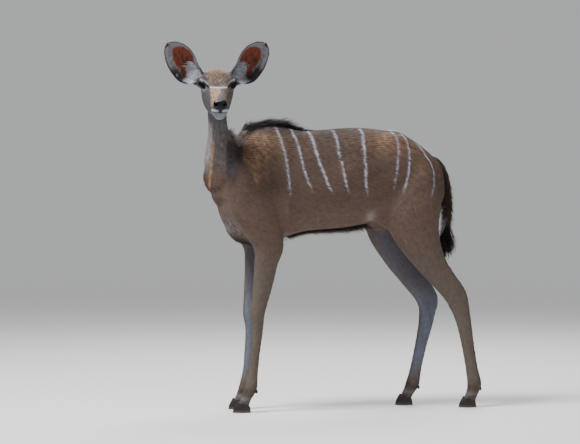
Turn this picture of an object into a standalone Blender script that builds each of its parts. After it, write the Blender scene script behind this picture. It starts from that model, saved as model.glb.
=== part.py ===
"""A greater kudu cow, life size, standing with her head turned to her left.

Metres, +Z up. The body lies along X with the head at -X, and her left side faces -Y.
The floor is at Z = 0, and the origin is under the middle of the whole animal.
The flesh is modelled whole from swept sections, fused and smoothed, and then parted by thin cuts.
"""

import math
import random
from dataclasses import dataclass

import bmesh
import bpy
from mathutils import Matrix, Vector
from mathutils.bvhtree import BVHTree

# Driving sizes: the cuts between nodes, and how the skin over the swept forms is fused and smoothed.
GAP = 0.0004
CLEARANCE = 0.0003
VOXEL = 0.006
SOFTEN_ROUNDS = 22
SOFTEN_FACTOR = 0.8
HEAD_REACH = 0.26
HEAD_SOFTNESS = 0.20
LEG_SOFTNESS = 0.18
SEED = 11

# Where the head looks: a turn to her left from straight ahead, and a nod below level.
HEAD_TURN = math.radians(78.0)
HEAD_NOD = math.radians(12.0)
EYES_MIDDLE = Vector((-0.563, -0.2525, 1.410))

EYE_RADIUS = 0.0215
EYE_SIDE = 0.0560
GAZE_TURN = math.radians(38.0)
LID_THICKNESS = 0.0042
EYE_OPENING = (0.0215, 0.0125)
EYE_GAP = 0.0003

MOUTH_MIDDLE = (0.118, -0.081)
MOUTH_CUT = 0.0024
MOUTH_DEPTH = 0.0070
MOUTH_SWEEP = math.radians(118.0)

NOSTRIL_MIDDLE = (0.1935, 0.0180, -0.046)
NOSTRIL_RADII = (0.011, 0.0042, 0.0080)

EAR_BASE = (-0.070, 0.068, 0.008)
EAR_TIP = (-0.092, 0.201, 0.163)
EAR_TURN_OUT = math.radians(14.0)
EAR_THICKNESS = 0.0042

TOE_REACH = 0.050
HEEL_REACH = 0.028
HOOF_WIDTH = 0.0265
HOOF_SPLIT = 0.0024

# How many triangles each zone of the fused skin is brought down to.
ZONE_TRIANGLES = {"trunk": 2600, "legs": 1700, "head": 1350}
HEAD_ZONE = 0.245
LEG_ZONE = 0.60

# Lengths of the locks at the withers, down the nape, under the belly from front to rear, and of the tuft.
CREST_LENGTH = 0.060
CREST_REACH = (-0.425, -0.175)
NAPE_LENGTH = 0.054
NAPE_REACH = (1.75, 4.60)
FRINGE_LENGTH = (0.032, 0.044)
FRINGE_REACH = (-0.185, 0.140)
TAIL_EDGE_LENGTH = 0.080
TUFT_LENGTH = 0.115

# A lock's width and thickness on each of those places, and how deep its root is set in the flesh.
CREST_LOCK = (0.030, 0.009)
NAPE_LOCK = (0.030, 0.009)
FRINGE_LOCK = (0.034, 0.011)
TAIL_EDGE_LOCK = (0.026, 0.009)
TUFT_LOCK = (0.020, 0.009)
ROOT_DEPTH = 0.011

COLOURS = {
    "coat": (0.235, 0.160, 0.110),
    "leg": (0.270, 0.215, 0.165),
    "ear": (0.330, 0.200, 0.140),
    "eye": (0.010, 0.008, 0.007),
    "horn": (0.035, 0.030, 0.028),
    "tail": (0.120, 0.080, 0.055),
}
ROUGHNESS = {"eye": 0.08, "horn": 0.45}


@dataclass(frozen=True)
class Section:
    """One cross-section of a swept form, from its upper point to its lower point."""

    upper: Vector
    lower: Vector
    half_width: float
    squareness: float = 2.0
    sag: float = 0.0


def clear_scene():
    """Removes what the scene holds."""
    for item in list(bpy.data.objects):
        bpy.data.objects.remove(item)


def material(slot):
    """The material of a slot, made the first time that it is asked for."""
    found = bpy.data.materials.get(slot)
    if found:
        return found
    made = bpy.data.materials.new(slot)
    made.use_nodes = True
    shader = made.node_tree.nodes["Principled BSDF"]
    shader.inputs["Base Color"].default_value = (*COLOURS[slot], 1.0)
    shader.inputs["Roughness"].default_value = ROUGHNESS.get(slot, 0.85)
    return made


def linked(name, mesh, slot=None):
    """A new object of this mesh in the scene."""
    made = bpy.data.objects.new(name, mesh)
    bpy.context.scene.collection.objects.link(made)
    if slot:
        mesh.materials.clear()
        mesh.materials.append(material(slot))
    return made


def from_bmesh(name, bm, slot=None):
    """A new object of what the bmesh holds, with its faces pointing out."""
    bmesh.ops.recalc_face_normals(bm, faces=bm.faces[:])
    mesh = bpy.data.meshes.new(name)
    bm.to_mesh(mesh)
    bm.free()
    return linked(name, mesh, slot)


def apply_modifiers(item):
    """Replaces the object's mesh by what its modifiers make of it."""
    graph = bpy.context.evaluated_depsgraph_get()
    graph.update()
    made = bpy.data.meshes.new_from_object(item.evaluated_get(graph))
    item.modifiers.clear()
    item.data = made


def discard(items):
    """Removes helper objects."""
    for item in list(items):
        bpy.data.objects.remove(item)


def boolean(item, others, operation, solver="EXACT"):
    """Unites the item with closed meshes, or cuts them from it, and removes them."""
    group = bpy.data.collections.new("operands")
    for other in others:
        group.objects.link(other)
    modifier = item.modifiers.new(operation.lower(), "BOOLEAN")
    modifier.operation = operation
    modifier.operand_type = "COLLECTION"
    modifier.collection = group
    modifier.solver = solver
    apply_modifiers(item)
    discard(others)
    bpy.data.collections.remove(group)


def islands(bm):
    """The separate surfaces in a bmesh, each a set of its vertices."""
    unseen = set(bm.verts)
    found = []
    while unseen:
        front = [unseen.pop()]
        island = set(front)
        while front:
            for edge in front.pop().link_edges:
                for vertex in edge.verts:
                    if vertex in unseen:
                        unseen.discard(vertex)
                        island.add(vertex)
                        front.append(vertex)
        found.append(island)
    return found


def keep_largest(item):
    """Drops every surface of the object but the one with the most vertices."""
    bm = bmesh.new()
    bm.from_mesh(item.data)
    found = sorted(islands(bm), key=len)
    spare = [vertex for island in found[:-1] for vertex in island]
    bmesh.ops.delete(bm, geom=spare, context="VERTS")
    bm.to_mesh(item.data)
    bm.free()


def blend(before, start, end, after, share):
    """A smooth value between start and end, with the values on either side of them."""
    slope_in = (end - before) * 0.5
    slope_out = (after - start) * 0.5
    squared = share * share
    cubed = squared * share
    return (
        start * (2 * cubed - 3 * squared + 1)
        + slope_in * (cubed - 2 * squared + share)
        + end * (3 * squared - 2 * cubed)
        + slope_out * (cubed - squared)
    )


def refined(sections, steps):
    """The sections with smooth ones set between them."""
    found = []
    last = len(sections) - 1
    for i in range(last):
        near = [sections[max(i - 1, 0)], sections[i], sections[i + 1], sections[min(i + 2, last)]]
        for step in range(steps):
            share = step / steps
            found.append(
                Section(
                    blend(*[s.upper for s in near], share),
                    blend(*[s.lower for s in near], share),
                    blend(*[s.half_width for s in near], share),
                    blend(*[s.squareness for s in near], share),
                    blend(*[s.sag for s in near], share),
                )
            )
    found.append(sections[last])
    return found


def rounded(wave, squareness):
    """A sine or cosine pushed out towards a box's as squareness grows past 2."""
    return math.copysign(abs(wave) ** (2.0 / squareness), wave)


def sweep(name, sections, steps=4, sides=28, dome=0.5):
    """A closed skin through the sections, with a dome of that share of its size at each end."""
    rings = refined(sections, steps)
    middles = [(s.upper + s.lower) / 2 for s in rings]
    bm = bmesh.new()
    loops = []

    def add_ring(index, shrink, shift):
        section = rings[index]
        along = (middles[min(index + 1, len(rings) - 1)] - middles[max(index - 1, 0)]).normalized()
        rise = (section.upper - section.lower) / 2
        across = along.cross(rise).normalized()
        loop = []
        for k in range(sides):
            angle = 2 * math.pi * k / sides
            out = rounded(math.cos(angle), section.squareness)
            up = rounded(math.sin(angle), section.squareness)
            width = section.half_width * (1 - section.sag * up)
            point = middles[index] + (across * width * out + rise * up) * shrink + along * shift
            loop.append(bm.verts.new(point))
        loops.append(loop)

    last = len(rings) - 1
    for lift in (0.96, 0.72, 0.38):
        add_ring(0, math.sqrt(1 - lift * lift), -lift * dome * rings[0].half_width)
    for index in range(len(rings)):
        add_ring(index, 1.0, 0.0)
    for lift in (0.38, 0.72, 0.96):
        add_ring(last, math.sqrt(1 - lift * lift), lift * dome * rings[last].half_width)
    for first, second in zip(loops, loops[1:]):
        for k in range(sides):
            after = (k + 1) % sides
            bm.faces.new((first[k], first[after], second[after], second[k]))
    bm.faces.new(loops[0][::-1])
    bm.faces.new(loops[-1])
    return from_bmesh(name, bm)


def ellipsoid(name, centre, axes, radii, segments=24, rings=14):
    """A ball stretched along three directions."""
    bm = bmesh.new()
    bmesh.ops.create_uvsphere(bm, u_segments=segments, v_segments=rings, radius=1.0)
    turned = Matrix([axis.normalized() * radius for axis, radius in zip(axes, radii)]).transposed()
    bmesh.ops.transform(bm, matrix=Matrix.Translation(centre) @ turned.to_4x4(), verts=bm.verts)
    return from_bmesh(name, bm)


# The trunk: distance along X, height of its upper line, height of its lower line, half width.
TRUNK = [
    (-0.500, 1.015, 0.885, 0.056),
    (-0.478, 1.060, 0.820, 0.086),
    (-0.440, 1.102, 0.764, 0.106),
    (-0.395, 1.166, 0.735, 0.116),
    (-0.350, 1.212, 0.715, 0.122),
    (-0.300, 1.237, 0.712, 0.130),
    (-0.220, 1.234, 0.742, 0.145),
    (-0.130, 1.217, 0.770, 0.163),
    (-0.040, 1.218, 0.779, 0.173),
    (0.050, 1.225, 0.786, 0.177),
    (0.140, 1.227, 0.800, 0.170),
    (0.220, 1.219, 0.822, 0.158),
    (0.300, 1.212, 0.815, 0.148),
    (0.370, 1.176, 0.820, 0.134),
    (0.430, 1.134, 0.850, 0.112),
    (0.475, 1.095, 0.890, 0.080),
]
TRUNK_SAG = 0.16

# The neck: middle, half depth, half width, and how far it has turned to her left by then.
NECK = [
    ((-0.360, 0.000, 0.995), 0.150, 0.092, 0.0),
    ((-0.448, -0.004, 1.062), 0.124, 0.084, 4.0),
    ((-0.490, -0.020, 1.130), 0.080, 0.062, 22.0),
    ((-0.513, -0.056, 1.210), 0.057, 0.043, 48.0),
    ((-0.528, -0.102, 1.295), 0.056, 0.041, 66.0),
    ((-0.538, -0.152, 1.372), 0.064, 0.046, 75.0),
    ((-0.544, -0.182, 1.415), 0.050, 0.044, 75.0),
]

# The head along its own axis from between the eyes: reach, top, bottom, half width, squareness.
HEAD = [
    (-0.118, 0.014, -0.062, 0.036, 2.0),
    (-0.092, 0.040, -0.092, 0.054, 2.1),
    (-0.050, 0.056, -0.120, 0.0660, 2.3),
    (-0.015, 0.050, -0.128, 0.0715, 2.4),
    (0.018, 0.034, -0.128, 0.0690, 2.4),
    (0.058, 0.016, -0.122, 0.0590, 2.4),
    (0.098, 0.003, -0.116, 0.0480, 2.4),
    (0.135, -0.008, -0.114, 0.0400, 2.4),
    (0.163, -0.015, -0.113, 0.0370, 2.4),
    (0.182, -0.021, -0.106, 0.0350, 2.4),
    (0.194, -0.028, -0.090, 0.0290, 2.3),
]
HEAD_SAG = -0.06

# A foreleg down its middle: distance along X, height, then its fore, aft and side half sizes.
FORELEG = [
    (-0.330, 1.120, 0.075, 0.080, 0.034),
    (-0.372, 1.010, 0.098, 0.110, 0.050),
    (-0.372, 0.890, 0.100, 0.112, 0.054),
    (-0.322, 0.785, 0.082, 0.090, 0.050),
    (-0.300, 0.705, 0.066, 0.070, 0.045),
    (-0.311, 0.640, 0.053, 0.055, 0.039),
    (-0.322, 0.560, 0.046, 0.047, 0.034),
    (-0.337, 0.480, 0.037, 0.039, 0.030),
    (-0.345, 0.422, 0.034, 0.031, 0.031),
    (-0.346, 0.380, 0.028, 0.028, 0.027),
    (-0.348, 0.335, 0.023, 0.025, 0.022),
    (-0.356, 0.260, 0.0215, 0.0225, 0.0195),
    (-0.366, 0.175, 0.0215, 0.0235, 0.0195),
    (-0.377, 0.108, 0.0270, 0.0300, 0.0265),
    (-0.397, 0.062, 0.0225, 0.0240, 0.0255),
    (-0.412, 0.022, 0.0260, 0.0250, 0.0290),
]
FORELEG_SIDES = (0.068, 0.090, 0.096, 0.095, 0.092, 0.090, 0.088, 0.086, 0.085)
FORELEG_SETS = {"left": 0.0, "right": 0.024}

# A hind leg's half sizes down its middle, and where that middle is on each side.
HINDLEG_SIZES = [
    (0.110, 0.105, 0.060),
    (0.150, 0.132, 0.084),
    (0.112, 0.098, 0.072),
    (0.074, 0.072, 0.053),
    (0.056, 0.058, 0.040),
    (0.048, 0.053, 0.034),
    (0.034, 0.038, 0.0275),
    (0.0275, 0.0295, 0.0225),
    (0.0260, 0.0285, 0.0220),
    (0.0290, 0.0335, 0.0285),
    (0.0240, 0.0260, 0.0270),
    (0.0270, 0.0260, 0.0300),
]
HINDLEG_MIDDLES = {
    "left": [
        (0.330, 1.060),
        (0.348, 0.910),
        (0.374, 0.765),
        (0.422, 0.655),
        (0.478, 0.574),
        (0.546, 0.485),
        (0.578, 0.395),
        (0.600, 0.290),
        (0.620, 0.175),
        (0.632, 0.100),
        (0.620, 0.056),
        (0.606, 0.020),
    ],
    "right": [
        (0.325, 1.060),
        (0.322, 0.910),
        (0.308, 0.770),
        (0.346, 0.660),
        (0.402, 0.568),
        (0.470, 0.468),
        (0.468, 0.380),
        (0.446, 0.275),
        (0.421, 0.165),
        (0.404, 0.096),
        (0.384, 0.054),
        (0.368, 0.020),
    ],
}
HINDLEG_SIDES = (0.062, 0.084, 0.094, 0.098, 0.096, 0.092, 0.090, 0.090, 0.090)

# The tail's middle, with its half depth and half width.
TAIL = [
    ((0.438, 0.0, 1.094), 0.020, 0.024),
    ((0.490, 0.0, 1.070), 0.019, 0.023),
    ((0.528, 0.0, 1.015), 0.013, 0.021),
    ((0.541, 0.0, 0.940), 0.010, 0.020),
    ((0.541, 0.0, 0.870), 0.009, 0.018),
    ((0.534, 0.0, 0.800), 0.008, 0.015),
    ((0.524, 0.0, 0.740), 0.007, 0.010),
]

# An ear along its axis: share of its length, half width, depth of the cup, outward set.
EAR = [
    (-0.16, 0.020, 0.036, 0.000),
    (0.00, 0.026, 0.042, 0.002),
    (0.10, 0.042, 0.050, 0.009),
    (0.19, 0.052, 0.050, 0.014),
    (0.30, 0.0590, 0.045, 0.016),
    (0.45, 0.0640, 0.037, 0.012),
    (0.60, 0.0640, 0.029, 0.009),
    (0.75, 0.0565, 0.020, 0.007),
    (0.88, 0.0410, 0.011, 0.008),
    (0.96, 0.0230, 0.006, 0.010),
    (1.00, 0.0050, 0.002, 0.012),
]
# The share of the ear's length over which its hollow opens out of the solid root.
EAR_FLOOR = (0.02, 0.24)

# A claw's levels from its sole to its top: share of its height, toe reach, heel reach and width.
CLAW_LEVELS = ((0.0, 1.0, 1.0, 0.96), (0.30, 0.93, 1.0, 1.0), (1.0, 0.56, 0.86, 0.98))
DEWCLAW_RADII = (0.0085, 0.0080, 0.0150)

# A claw's outline from its toe round its outer side to its heel: shares of reach and of width.
CLAW = [
    (1.00, 0.14),
    (0.86, 0.44),
    (0.62, 0.72),
    (0.30, 0.93),
    (-0.15, 1.00),
    (-0.60, 0.92),
    (-0.88, 0.64),
    (-1.00, 0.20),
    (-0.90, 0.00),
    (-0.20, 0.00),
    (0.50, 0.00),
    (0.90, 0.00),
]


def heading(turn):
    """The level direction that is turned this far to her left from straight ahead."""
    return Vector((-math.cos(turn), -math.sin(turn), 0.0))


HEAD_AHEAD = heading(HEAD_TURN) * math.cos(HEAD_NOD) - Vector((0, 0, math.sin(HEAD_NOD)))
HEAD_LEFT = heading(HEAD_TURN + math.pi / 2)
HEAD_UP = HEAD_LEFT.cross(HEAD_AHEAD) * -1.0


def head_point(ahead, left, up):
    """A point of the head, measured from between the eyes."""
    return EYES_MIDDLE + HEAD_AHEAD * ahead + HEAD_LEFT * left + HEAD_UP * up


def trunk_sections():
    """The trunk from the breast to the buttocks."""
    return [
        Section(Vector((x, 0, top)), Vector((x, 0, bottom)), width, 2.15, TRUNK_SAG)
        for x, top, bottom, width in TRUNK
    ]


def neck_sections():
    """The neck from inside the trunk to inside the head, turning as it rises."""
    middles = [Vector(row[0]) for row in NECK]
    found = []
    for i, (_, half_depth, half_width, turned) in enumerate(NECK):
        along = (middles[min(i + 1, len(NECK) - 1)] - middles[max(i - 1, 0)]).normalized()
        ahead = heading(math.radians(turned))
        throat = (ahead - along * ahead.dot(along)).normalized()
        found.append(
            Section(middles[i] - throat * half_depth, middles[i] + throat * half_depth, half_width)
        )
    return found


def head_sections():
    """The head from the poll to the nose."""
    return [
        Section(head_point(reach, 0, top), head_point(reach, 0, bottom), width, square, HEAD_SAG)
        for reach, top, bottom, width, square in HEAD
    ]


def leg_sections(rows, sides, sign):
    """A leg from the trunk to the foot. Each row is a middle and its fore, aft and side sizes."""
    middles = []
    for i, (x, z, *_) in enumerate(rows):
        middles.append(Vector((x, sign * sides[min(i, len(sides) - 1)], z)))
    found = []
    for i, (_, _, fore, aft, side) in enumerate(rows):
        along = (middles[min(i + 1, len(rows) - 1)] - middles[max(i - 1, 0)]).normalized()
        forward = along.cross(Vector((0, 1, 0))).normalized()
        if forward.x > 0:
            forward = -forward
        found.append(Section(middles[i] + forward * fore, middles[i] - forward * aft, side, 2.1))
    return found


def foreleg_rows(side):
    """The foreleg's rows, with the lower leg set back by the side's own step."""
    top = FORELEG[4][1]
    rows = []
    for x, z, fore, aft, width in FORELEG:
        share = min(1.0, max(0.0, (top - z) / top))
        rows.append((x + FORELEG_SETS[side] * share, z, fore, aft, width))
    return rows


def hindleg_rows(side):
    """The hind leg's rows in the side's own stance."""
    return [(*middle, *sizes) for middle, sizes in zip(HINDLEG_MIDDLES[side], HINDLEG_SIZES)]


SIGNS = {"left": -1.0, "right": 1.0}


def muscle_forms():
    """The forms that stand out of the swept ones: withers, breast, hips, orbits, cheeks and ear roots."""
    world = (Vector((1, 0, 0)), Vector((0, 1, 0)), Vector((0, 0, 1)))
    skull = (HEAD_AHEAD, HEAD_LEFT, HEAD_UP)
    yield ellipsoid("withers", Vector((-0.280, 0, 1.180)), world, (0.140, 0.034, 0.070))
    yield ellipsoid("brisket", Vector((-0.385, 0, 0.830)), world, (0.090, 0.092, 0.105))
    yield ellipsoid("breast", Vector((-0.498, -0.004, 1.007)), world, (0.073, 0.070, 0.071))
    yield ellipsoid("udder", Vector((0.235, 0, 0.812)), world, (0.085, 0.060, 0.040))
    yield ellipsoid("nose_pad", head_point(0.180, 0, -0.050), skull, (0.018, 0.026, 0.024))
    yield ellipsoid("lip", head_point(0.176, 0, -0.072), skull, (0.020, 0.031, 0.014))
    yield ellipsoid("chin", head_point(0.158, 0, -0.100), skull, (0.028, 0.024, 0.017))
    for sign in SIGNS.values():
        left = -sign
        yield ellipsoid("hip", Vector((0.262, sign * 0.066, 1.125)), world, (0.095, 0.046, 0.075))
        yield ellipsoid("orbit", head_point(-0.010, left * 0.060, 0.004), skull, (0.031, 0.026, 0.025))
        yield ellipsoid("cheek", head_point(-0.015, left * 0.038, -0.055), skull, (0.052, 0.027, 0.044))
        yield ellipsoid("ear_root", head_point(-0.062, left * 0.054, 0.008), skull, (0.032, 0.032, 0.034))


def flank_fold(side):
    """The fold of skin from the belly to the front of the thigh."""
    sign = SIGNS[side]
    thigh = HINDLEG_MIDDLES[side][2]
    rows = [
        ((0.120, 0.930), 0.050, 0.100),
        ((0.185, 0.865), 0.050, 0.096),
        ((thigh[0] - 0.085, 0.800), 0.045, 0.094),
        ((thigh[0] - 0.050, 0.735), 0.035, 0.094),
    ]
    sections = []
    for (x, z), half, lateral in rows:
        middle = Vector((x, sign * lateral, z))
        lean = Vector((-0.6, 0, -0.8))
        sections.append(Section(middle - lean * half, middle + lean * half, 0.034))
    return sweep("flank_fold_" + side, sections)


def fused_flesh():
    """All the flesh as one smooth skin of few enough triangles, finest on the head."""
    pieces = [sweep("trunk", trunk_sections()), sweep("neck", neck_sections())]
    pieces.append(sweep("head", head_sections(), dome=0.35))
    pieces.extend(muscle_forms())
    for side, sign in SIGNS.items():
        pieces.append(sweep("foreleg", leg_sections(foreleg_rows(side), FORELEG_SIDES, sign)))
        pieces.append(sweep("hindleg", leg_sections(hindleg_rows(side), HINDLEG_SIDES, sign)))
        pieces.append(flank_fold(side))
    whole = bmesh.new()
    for piece in pieces:
        whole.from_mesh(piece.data)
    flesh = from_bmesh("flesh", whole)
    discard(pieces)
    remesh = flesh.modifiers.new("fuse", "REMESH")
    remesh.mode = "VOXEL"
    remesh.voxel_size = VOXEL
    apply_modifiers(flesh)
    soften(flesh)
    thin_out(flesh)
    return flesh


def soften(flesh):
    """Rounds the creases where the forms meet, most on the trunk and least on the thin legs."""
    group = flesh.vertex_groups.new(name="soft")
    for vertex in flesh.data.vertices:
        near_head = (vertex.co - EYES_MIDDLE).length < HEAD_REACH
        high = min(1.0, max(0.0, (vertex.co.z - 0.30) / 0.45))
        softness = HEAD_SOFTNESS if near_head else LEG_SOFTNESS + (1 - LEG_SOFTNESS) * high
        group.add([vertex.index], softness, "REPLACE")
    smooth = flesh.modifiers.new("soften", "SMOOTH")
    smooth.factor = SOFTEN_FACTOR
    smooth.iterations = SOFTEN_ROUNDS
    smooth.vertex_group = "soft"
    apply_modifiers(flesh)


def thin_out(flesh):
    """Brings each zone of the skin down to its own number of triangles."""

    def zone(point):
        if (point - EYES_MIDDLE).length < HEAD_ZONE:
            return "head"
        return "legs" if point.z < LEG_ZONE else "trunk"

    for name, wanted in ZONE_TRIANGLES.items():
        inside = {v.index for v in flesh.data.vertices if zone(v.co) == name}
        group = flesh.vertex_groups.new(name=name)
        group.add(sorted(inside), 1.0, "REPLACE")
        counts = [(len(p.vertices) - 2, p.vertices[0] in inside) for p in flesh.data.polygons]
        total = sum(count for count, _ in counts)
        held = sum(count for count, within in counts if within)
        decimate = flesh.modifiers.new("thin_" + name, "DECIMATE")
        decimate.ratio = (total - held + wanted) / total
        decimate.use_collapse_triangulate = True
        decimate.vertex_group = name
        apply_modifiers(flesh)


def slab(centre, normal, along, half_along, half_across):
    """A thin box that parts the flesh across this normal."""
    normal = normal.normalized()
    along = (along - normal * along.dot(normal)).normalized()
    across = normal.cross(along)
    bm = bmesh.new()
    bmesh.ops.create_cube(bm, size=2.0)
    sizes = (along * half_along, across * half_across, normal * (GAP / 2))
    turned = Matrix(sizes).transposed().to_4x4()
    bmesh.ops.transform(bm, matrix=Matrix.Translation(centre) @ turned, verts=bm.verts)
    return from_bmesh("cut", bm)


def slab_between(first, second, sideways, spare, half_across):
    """A thin box through two points of the midline, reaching past both by spare."""
    along = second - first
    return slab((first + second) / 2, along.cross(sideways), along, along.length / 2 + spare, half_across)


# Heights at which each leg is parted: under the trunk, at the middle joint, and over the fetlock.
FORELEG_CUTS = (0.690, 0.392, 0.142)
HINDLEG_CUTS = (0.735, 0.425, 0.138)
TRUNK_CUTS = (-0.120, 0.165)
NAPE_CUT = (Vector((-0.418, 0, 1.205)), Vector((-0.558, 0, 0.945)))
POLL_CUT = (head_point(-0.132, 0, 0.030), head_point(-0.048, 0, -0.150))
CORONET_HEIGHT = 0.038
CORONET_SLOPE = math.radians(24.0)


def middle_at(rows, height):
    """The point of a leg's middle at this height, and the leg's direction there."""
    for (x, z, *_), (next_x, next_z, *_) in zip(rows, rows[1:]):
        if next_z <= height <= z:
            share = (z - height) / (z - next_z)
            return Vector((x + (next_x - x) * share, 0, height)), Vector((next_x - x, 0, next_z - z))
    raise ValueError("no middle at that height")


def leg_cuts(rows, sides, sign, heights):
    """The thin boxes that part one leg, from its top to its coronet."""
    lateral = Vector((0, 1, 0))
    cuts = []
    for height in heights:
        middle, along = middle_at(rows, height)
        if height == heights[0]:
            along = Vector((0, 0, -1))
        middle.y = sign * sides[-1]
        reach = 0.150 if height == heights[0] else 0.075
        cuts.append(slab(middle, along, lateral, 0.078, reach))
    middle, _ = middle_at(rows, CORONET_HEIGHT)
    middle.y = sign * sides[-1]
    tilt = Vector((math.sin(CORONET_SLOPE), 0, math.cos(CORONET_SLOPE)))
    cuts.append(slab(middle, tilt, lateral, 0.060, 0.060))
    return cuts


def legs():
    """Each leg's name, rows, side offsets, sign and cut heights."""
    for side, sign in SIGNS.items():
        yield "foreleg_" + side, foreleg_rows(side), FORELEG_SIDES, sign, FORELEG_CUTS
        yield "hindleg_" + side, hindleg_rows(side), HINDLEG_SIDES, sign, HINDLEG_CUTS


def part_flesh(flesh):
    """Cuts the flesh into its named nodes, and returns them by name."""
    lateral = Vector((0, 1, 0))
    cuts = [
        slab(Vector((x, 0, 1.0)), Vector((1, 0, 0)), lateral, 0.30, 0.35) for x in TRUNK_CUTS
    ]
    cuts.append(slab_between(*NAPE_CUT, lateral, 0.055, 0.20))
    cuts.append(slab_between(*POLL_CUT, HEAD_LEFT, 0.030, 0.10))
    anchors = {
        "torso_front": Vector((-0.34, 0, 0.95)),
        "torso_middle": Vector((0.02, 0, 1.0)),
        "torso_rear": Vector((0.34, 0, 0.97)),
        "neck": Vector((-0.51, -0.05, 1.18)),
        "head": head_point(0.03, 0, -0.04),
    }
    for name, rows, sides, sign, heights in legs():
        cuts.extend(leg_cuts(rows, sides, sign, heights))
        spans = (*heights, CORONET_HEIGHT, 0.0)
        for part, upper, lower in zip(("upper", "cannon", "pastern", "waste"), spans, spans[1:]):
            middle, _ = middle_at(rows + [(rows[-1][0], -0.05)], (upper + lower) / 2)
            anchors[name + "_" + part] = middle + lateral * sign * sides[-1]
    boolean(flesh, cuts, "DIFFERENCE")
    nodes = named_islands(flesh, anchors)
    discard([nodes.pop(name) for name in list(nodes) if name.endswith("_waste")])
    return nodes


def named_islands(flesh, anchors):
    """One object for each separate surface, named after the anchor that is nearest its middle."""
    bm = bmesh.new()
    bm.from_mesh(flesh.data)
    found = [island for island in islands(bm) if len(island) > 12]
    middles = []
    for island in found:
        lows = [min(v.co[i] for v in island) for i in range(3)]
        highs = [max(v.co[i] for v in island) for i in range(3)]
        middles.append((Vector(lows) + Vector(highs)) / 2)
    nodes = {}
    for name, anchor in anchors.items():
        nearest = min(range(len(found)), key=lambda i: (middles[i] - anchor).length)
        part = bmesh.new()
        copies = {}
        for vertex in found[nearest]:
            copies[vertex] = part.verts.new(vertex.co)
        for face in {face for vertex in found[nearest] for face in vertex.link_faces}:
            part.faces.new([copies[vertex] for vertex in face.verts])
        mesh = bpy.data.meshes.new(name)
        part.to_mesh(mesh)
        part.free()
        nodes[name] = linked(name, mesh)
    bm.free()
    discard([flesh])
    return nodes


def inflated(item, amount):
    """A copy of the object grown outwards by this amount."""
    bm = bmesh.new()
    bm.from_mesh(item.data)
    bm.normal_update()
    moves = [(vertex, vertex.normal * amount) for vertex in bm.verts]
    for vertex, move in moves:
        vertex.co += move
    return from_bmesh("clearance", bm)


def cut_clear(item, others):
    """Trims the item to stand just clear of the others, which stay as they are."""
    boolean(item, [inflated(other, CLEARANCE) for other in others], "DIFFERENCE")
    keep_largest(item)


def eye_frame(sign):
    """An eye's centre, and its directions out, across and up. The sign is +1 on her left."""
    centre = head_point(0.0, sign * EYE_SIDE, 0.0)
    gaze = HEAD_AHEAD * math.cos(GAZE_TURN) + HEAD_LEFT * sign * math.sin(GAZE_TURN)
    across = HEAD_UP.cross(gaze).normalized()
    return centre, gaze, across, gaze.cross(across)


def eye_ball(name, sign, radius):
    """A ball in the place of an eye, with its poles out and in."""
    centre, gaze, across, up = eye_frame(sign)
    return ellipsoid(name, centre, (across, up, gaze), (radius, radius, radius), 14, 9)


def eye_opening(sign):
    """The almond between the lids, as a closed wedge that widens outwards."""
    centre, gaze, across, up = eye_frame(sign)
    half_long, half_high = EYE_OPENING
    bm = bmesh.new()
    loops = []
    for reach, scale in ((0.006, 0.60), (0.016, 1.0), (0.045, 1.45)):
        loop = []
        for k in range(12):
            angle = 2 * math.pi * k / 12
            wide = math.cos(angle)
            high = math.copysign(abs(math.sin(angle)) ** 1.25, math.sin(angle))
            point = centre + gaze * reach + (across * half_long * wide + up * half_high * high) * scale
            loop.append(bm.verts.new(point))
        loops.append(loop)
    for first, second in zip(loops, loops[1:]):
        for k in range(12):
            after = (k + 1) % 12
            bm.faces.new((first[k], first[after], second[after], second[k]))
    bm.faces.new(loops[0][::-1])
    bm.faces.new(loops[-1])
    return from_bmesh("opening", bm)


def mouth_slot(head):
    """The line of the mouth, as a thin plate that follows the lips and fades at their corners."""
    bm = bmesh.new()
    bm.from_mesh(head.data)
    tree = BVHTree.FromBMesh(bm)
    bm.free()
    ahead, up = MOUTH_MIDDLE
    middle = head_point(ahead, 0, up)
    slot = bmesh.new()
    rows = []
    steps = 14
    for step in range(steps + 1):
        share = 2 * step / steps - 1
        angle = MOUTH_SWEEP * share
        out = HEAD_AHEAD * math.cos(angle) + HEAD_LEFT * math.sin(angle)
        skin = tree.ray_cast(middle, out)[0]
        depth = MOUTH_DEPTH * math.sqrt(max(0.0, 1 - share ** 4)) + 0.0004
        lift = HEAD_UP * (0.004 * share * share)
        thick = HEAD_UP * (MOUTH_CUT / 2)
        inner = skin - out * depth + lift
        outer = skin + out * 0.006 + lift
        corners = (inner - thick, outer - thick, outer + thick, inner + thick)
        rows.append([slot.verts.new(corner) for corner in corners])
    for first, second in zip(rows, rows[1:]):
        for k in range(4):
            after = (k + 1) % 4
            slot.faces.new((first[k], first[after], second[after], second[k]))
    slot.faces.new(rows[0][::-1])
    slot.faces.new(rows[-1])
    return from_bmesh("mouth", slot)


def nostril(sign):
    """The hollow of a nostril, long and leaning in at its lower end."""
    ahead, side, up = NOSTRIL_MIDDLE
    centre = head_point(ahead, sign * side, up)
    lean = (HEAD_UP + HEAD_LEFT * sign * 0.55).normalized()
    inward = (HEAD_AHEAD - HEAD_LEFT * sign * 0.35).normalized()
    axes = (inward, lean.cross(inward), lean)
    return ellipsoid("nostril", centre, axes, NOSTRIL_RADII, 10, 6)


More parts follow.
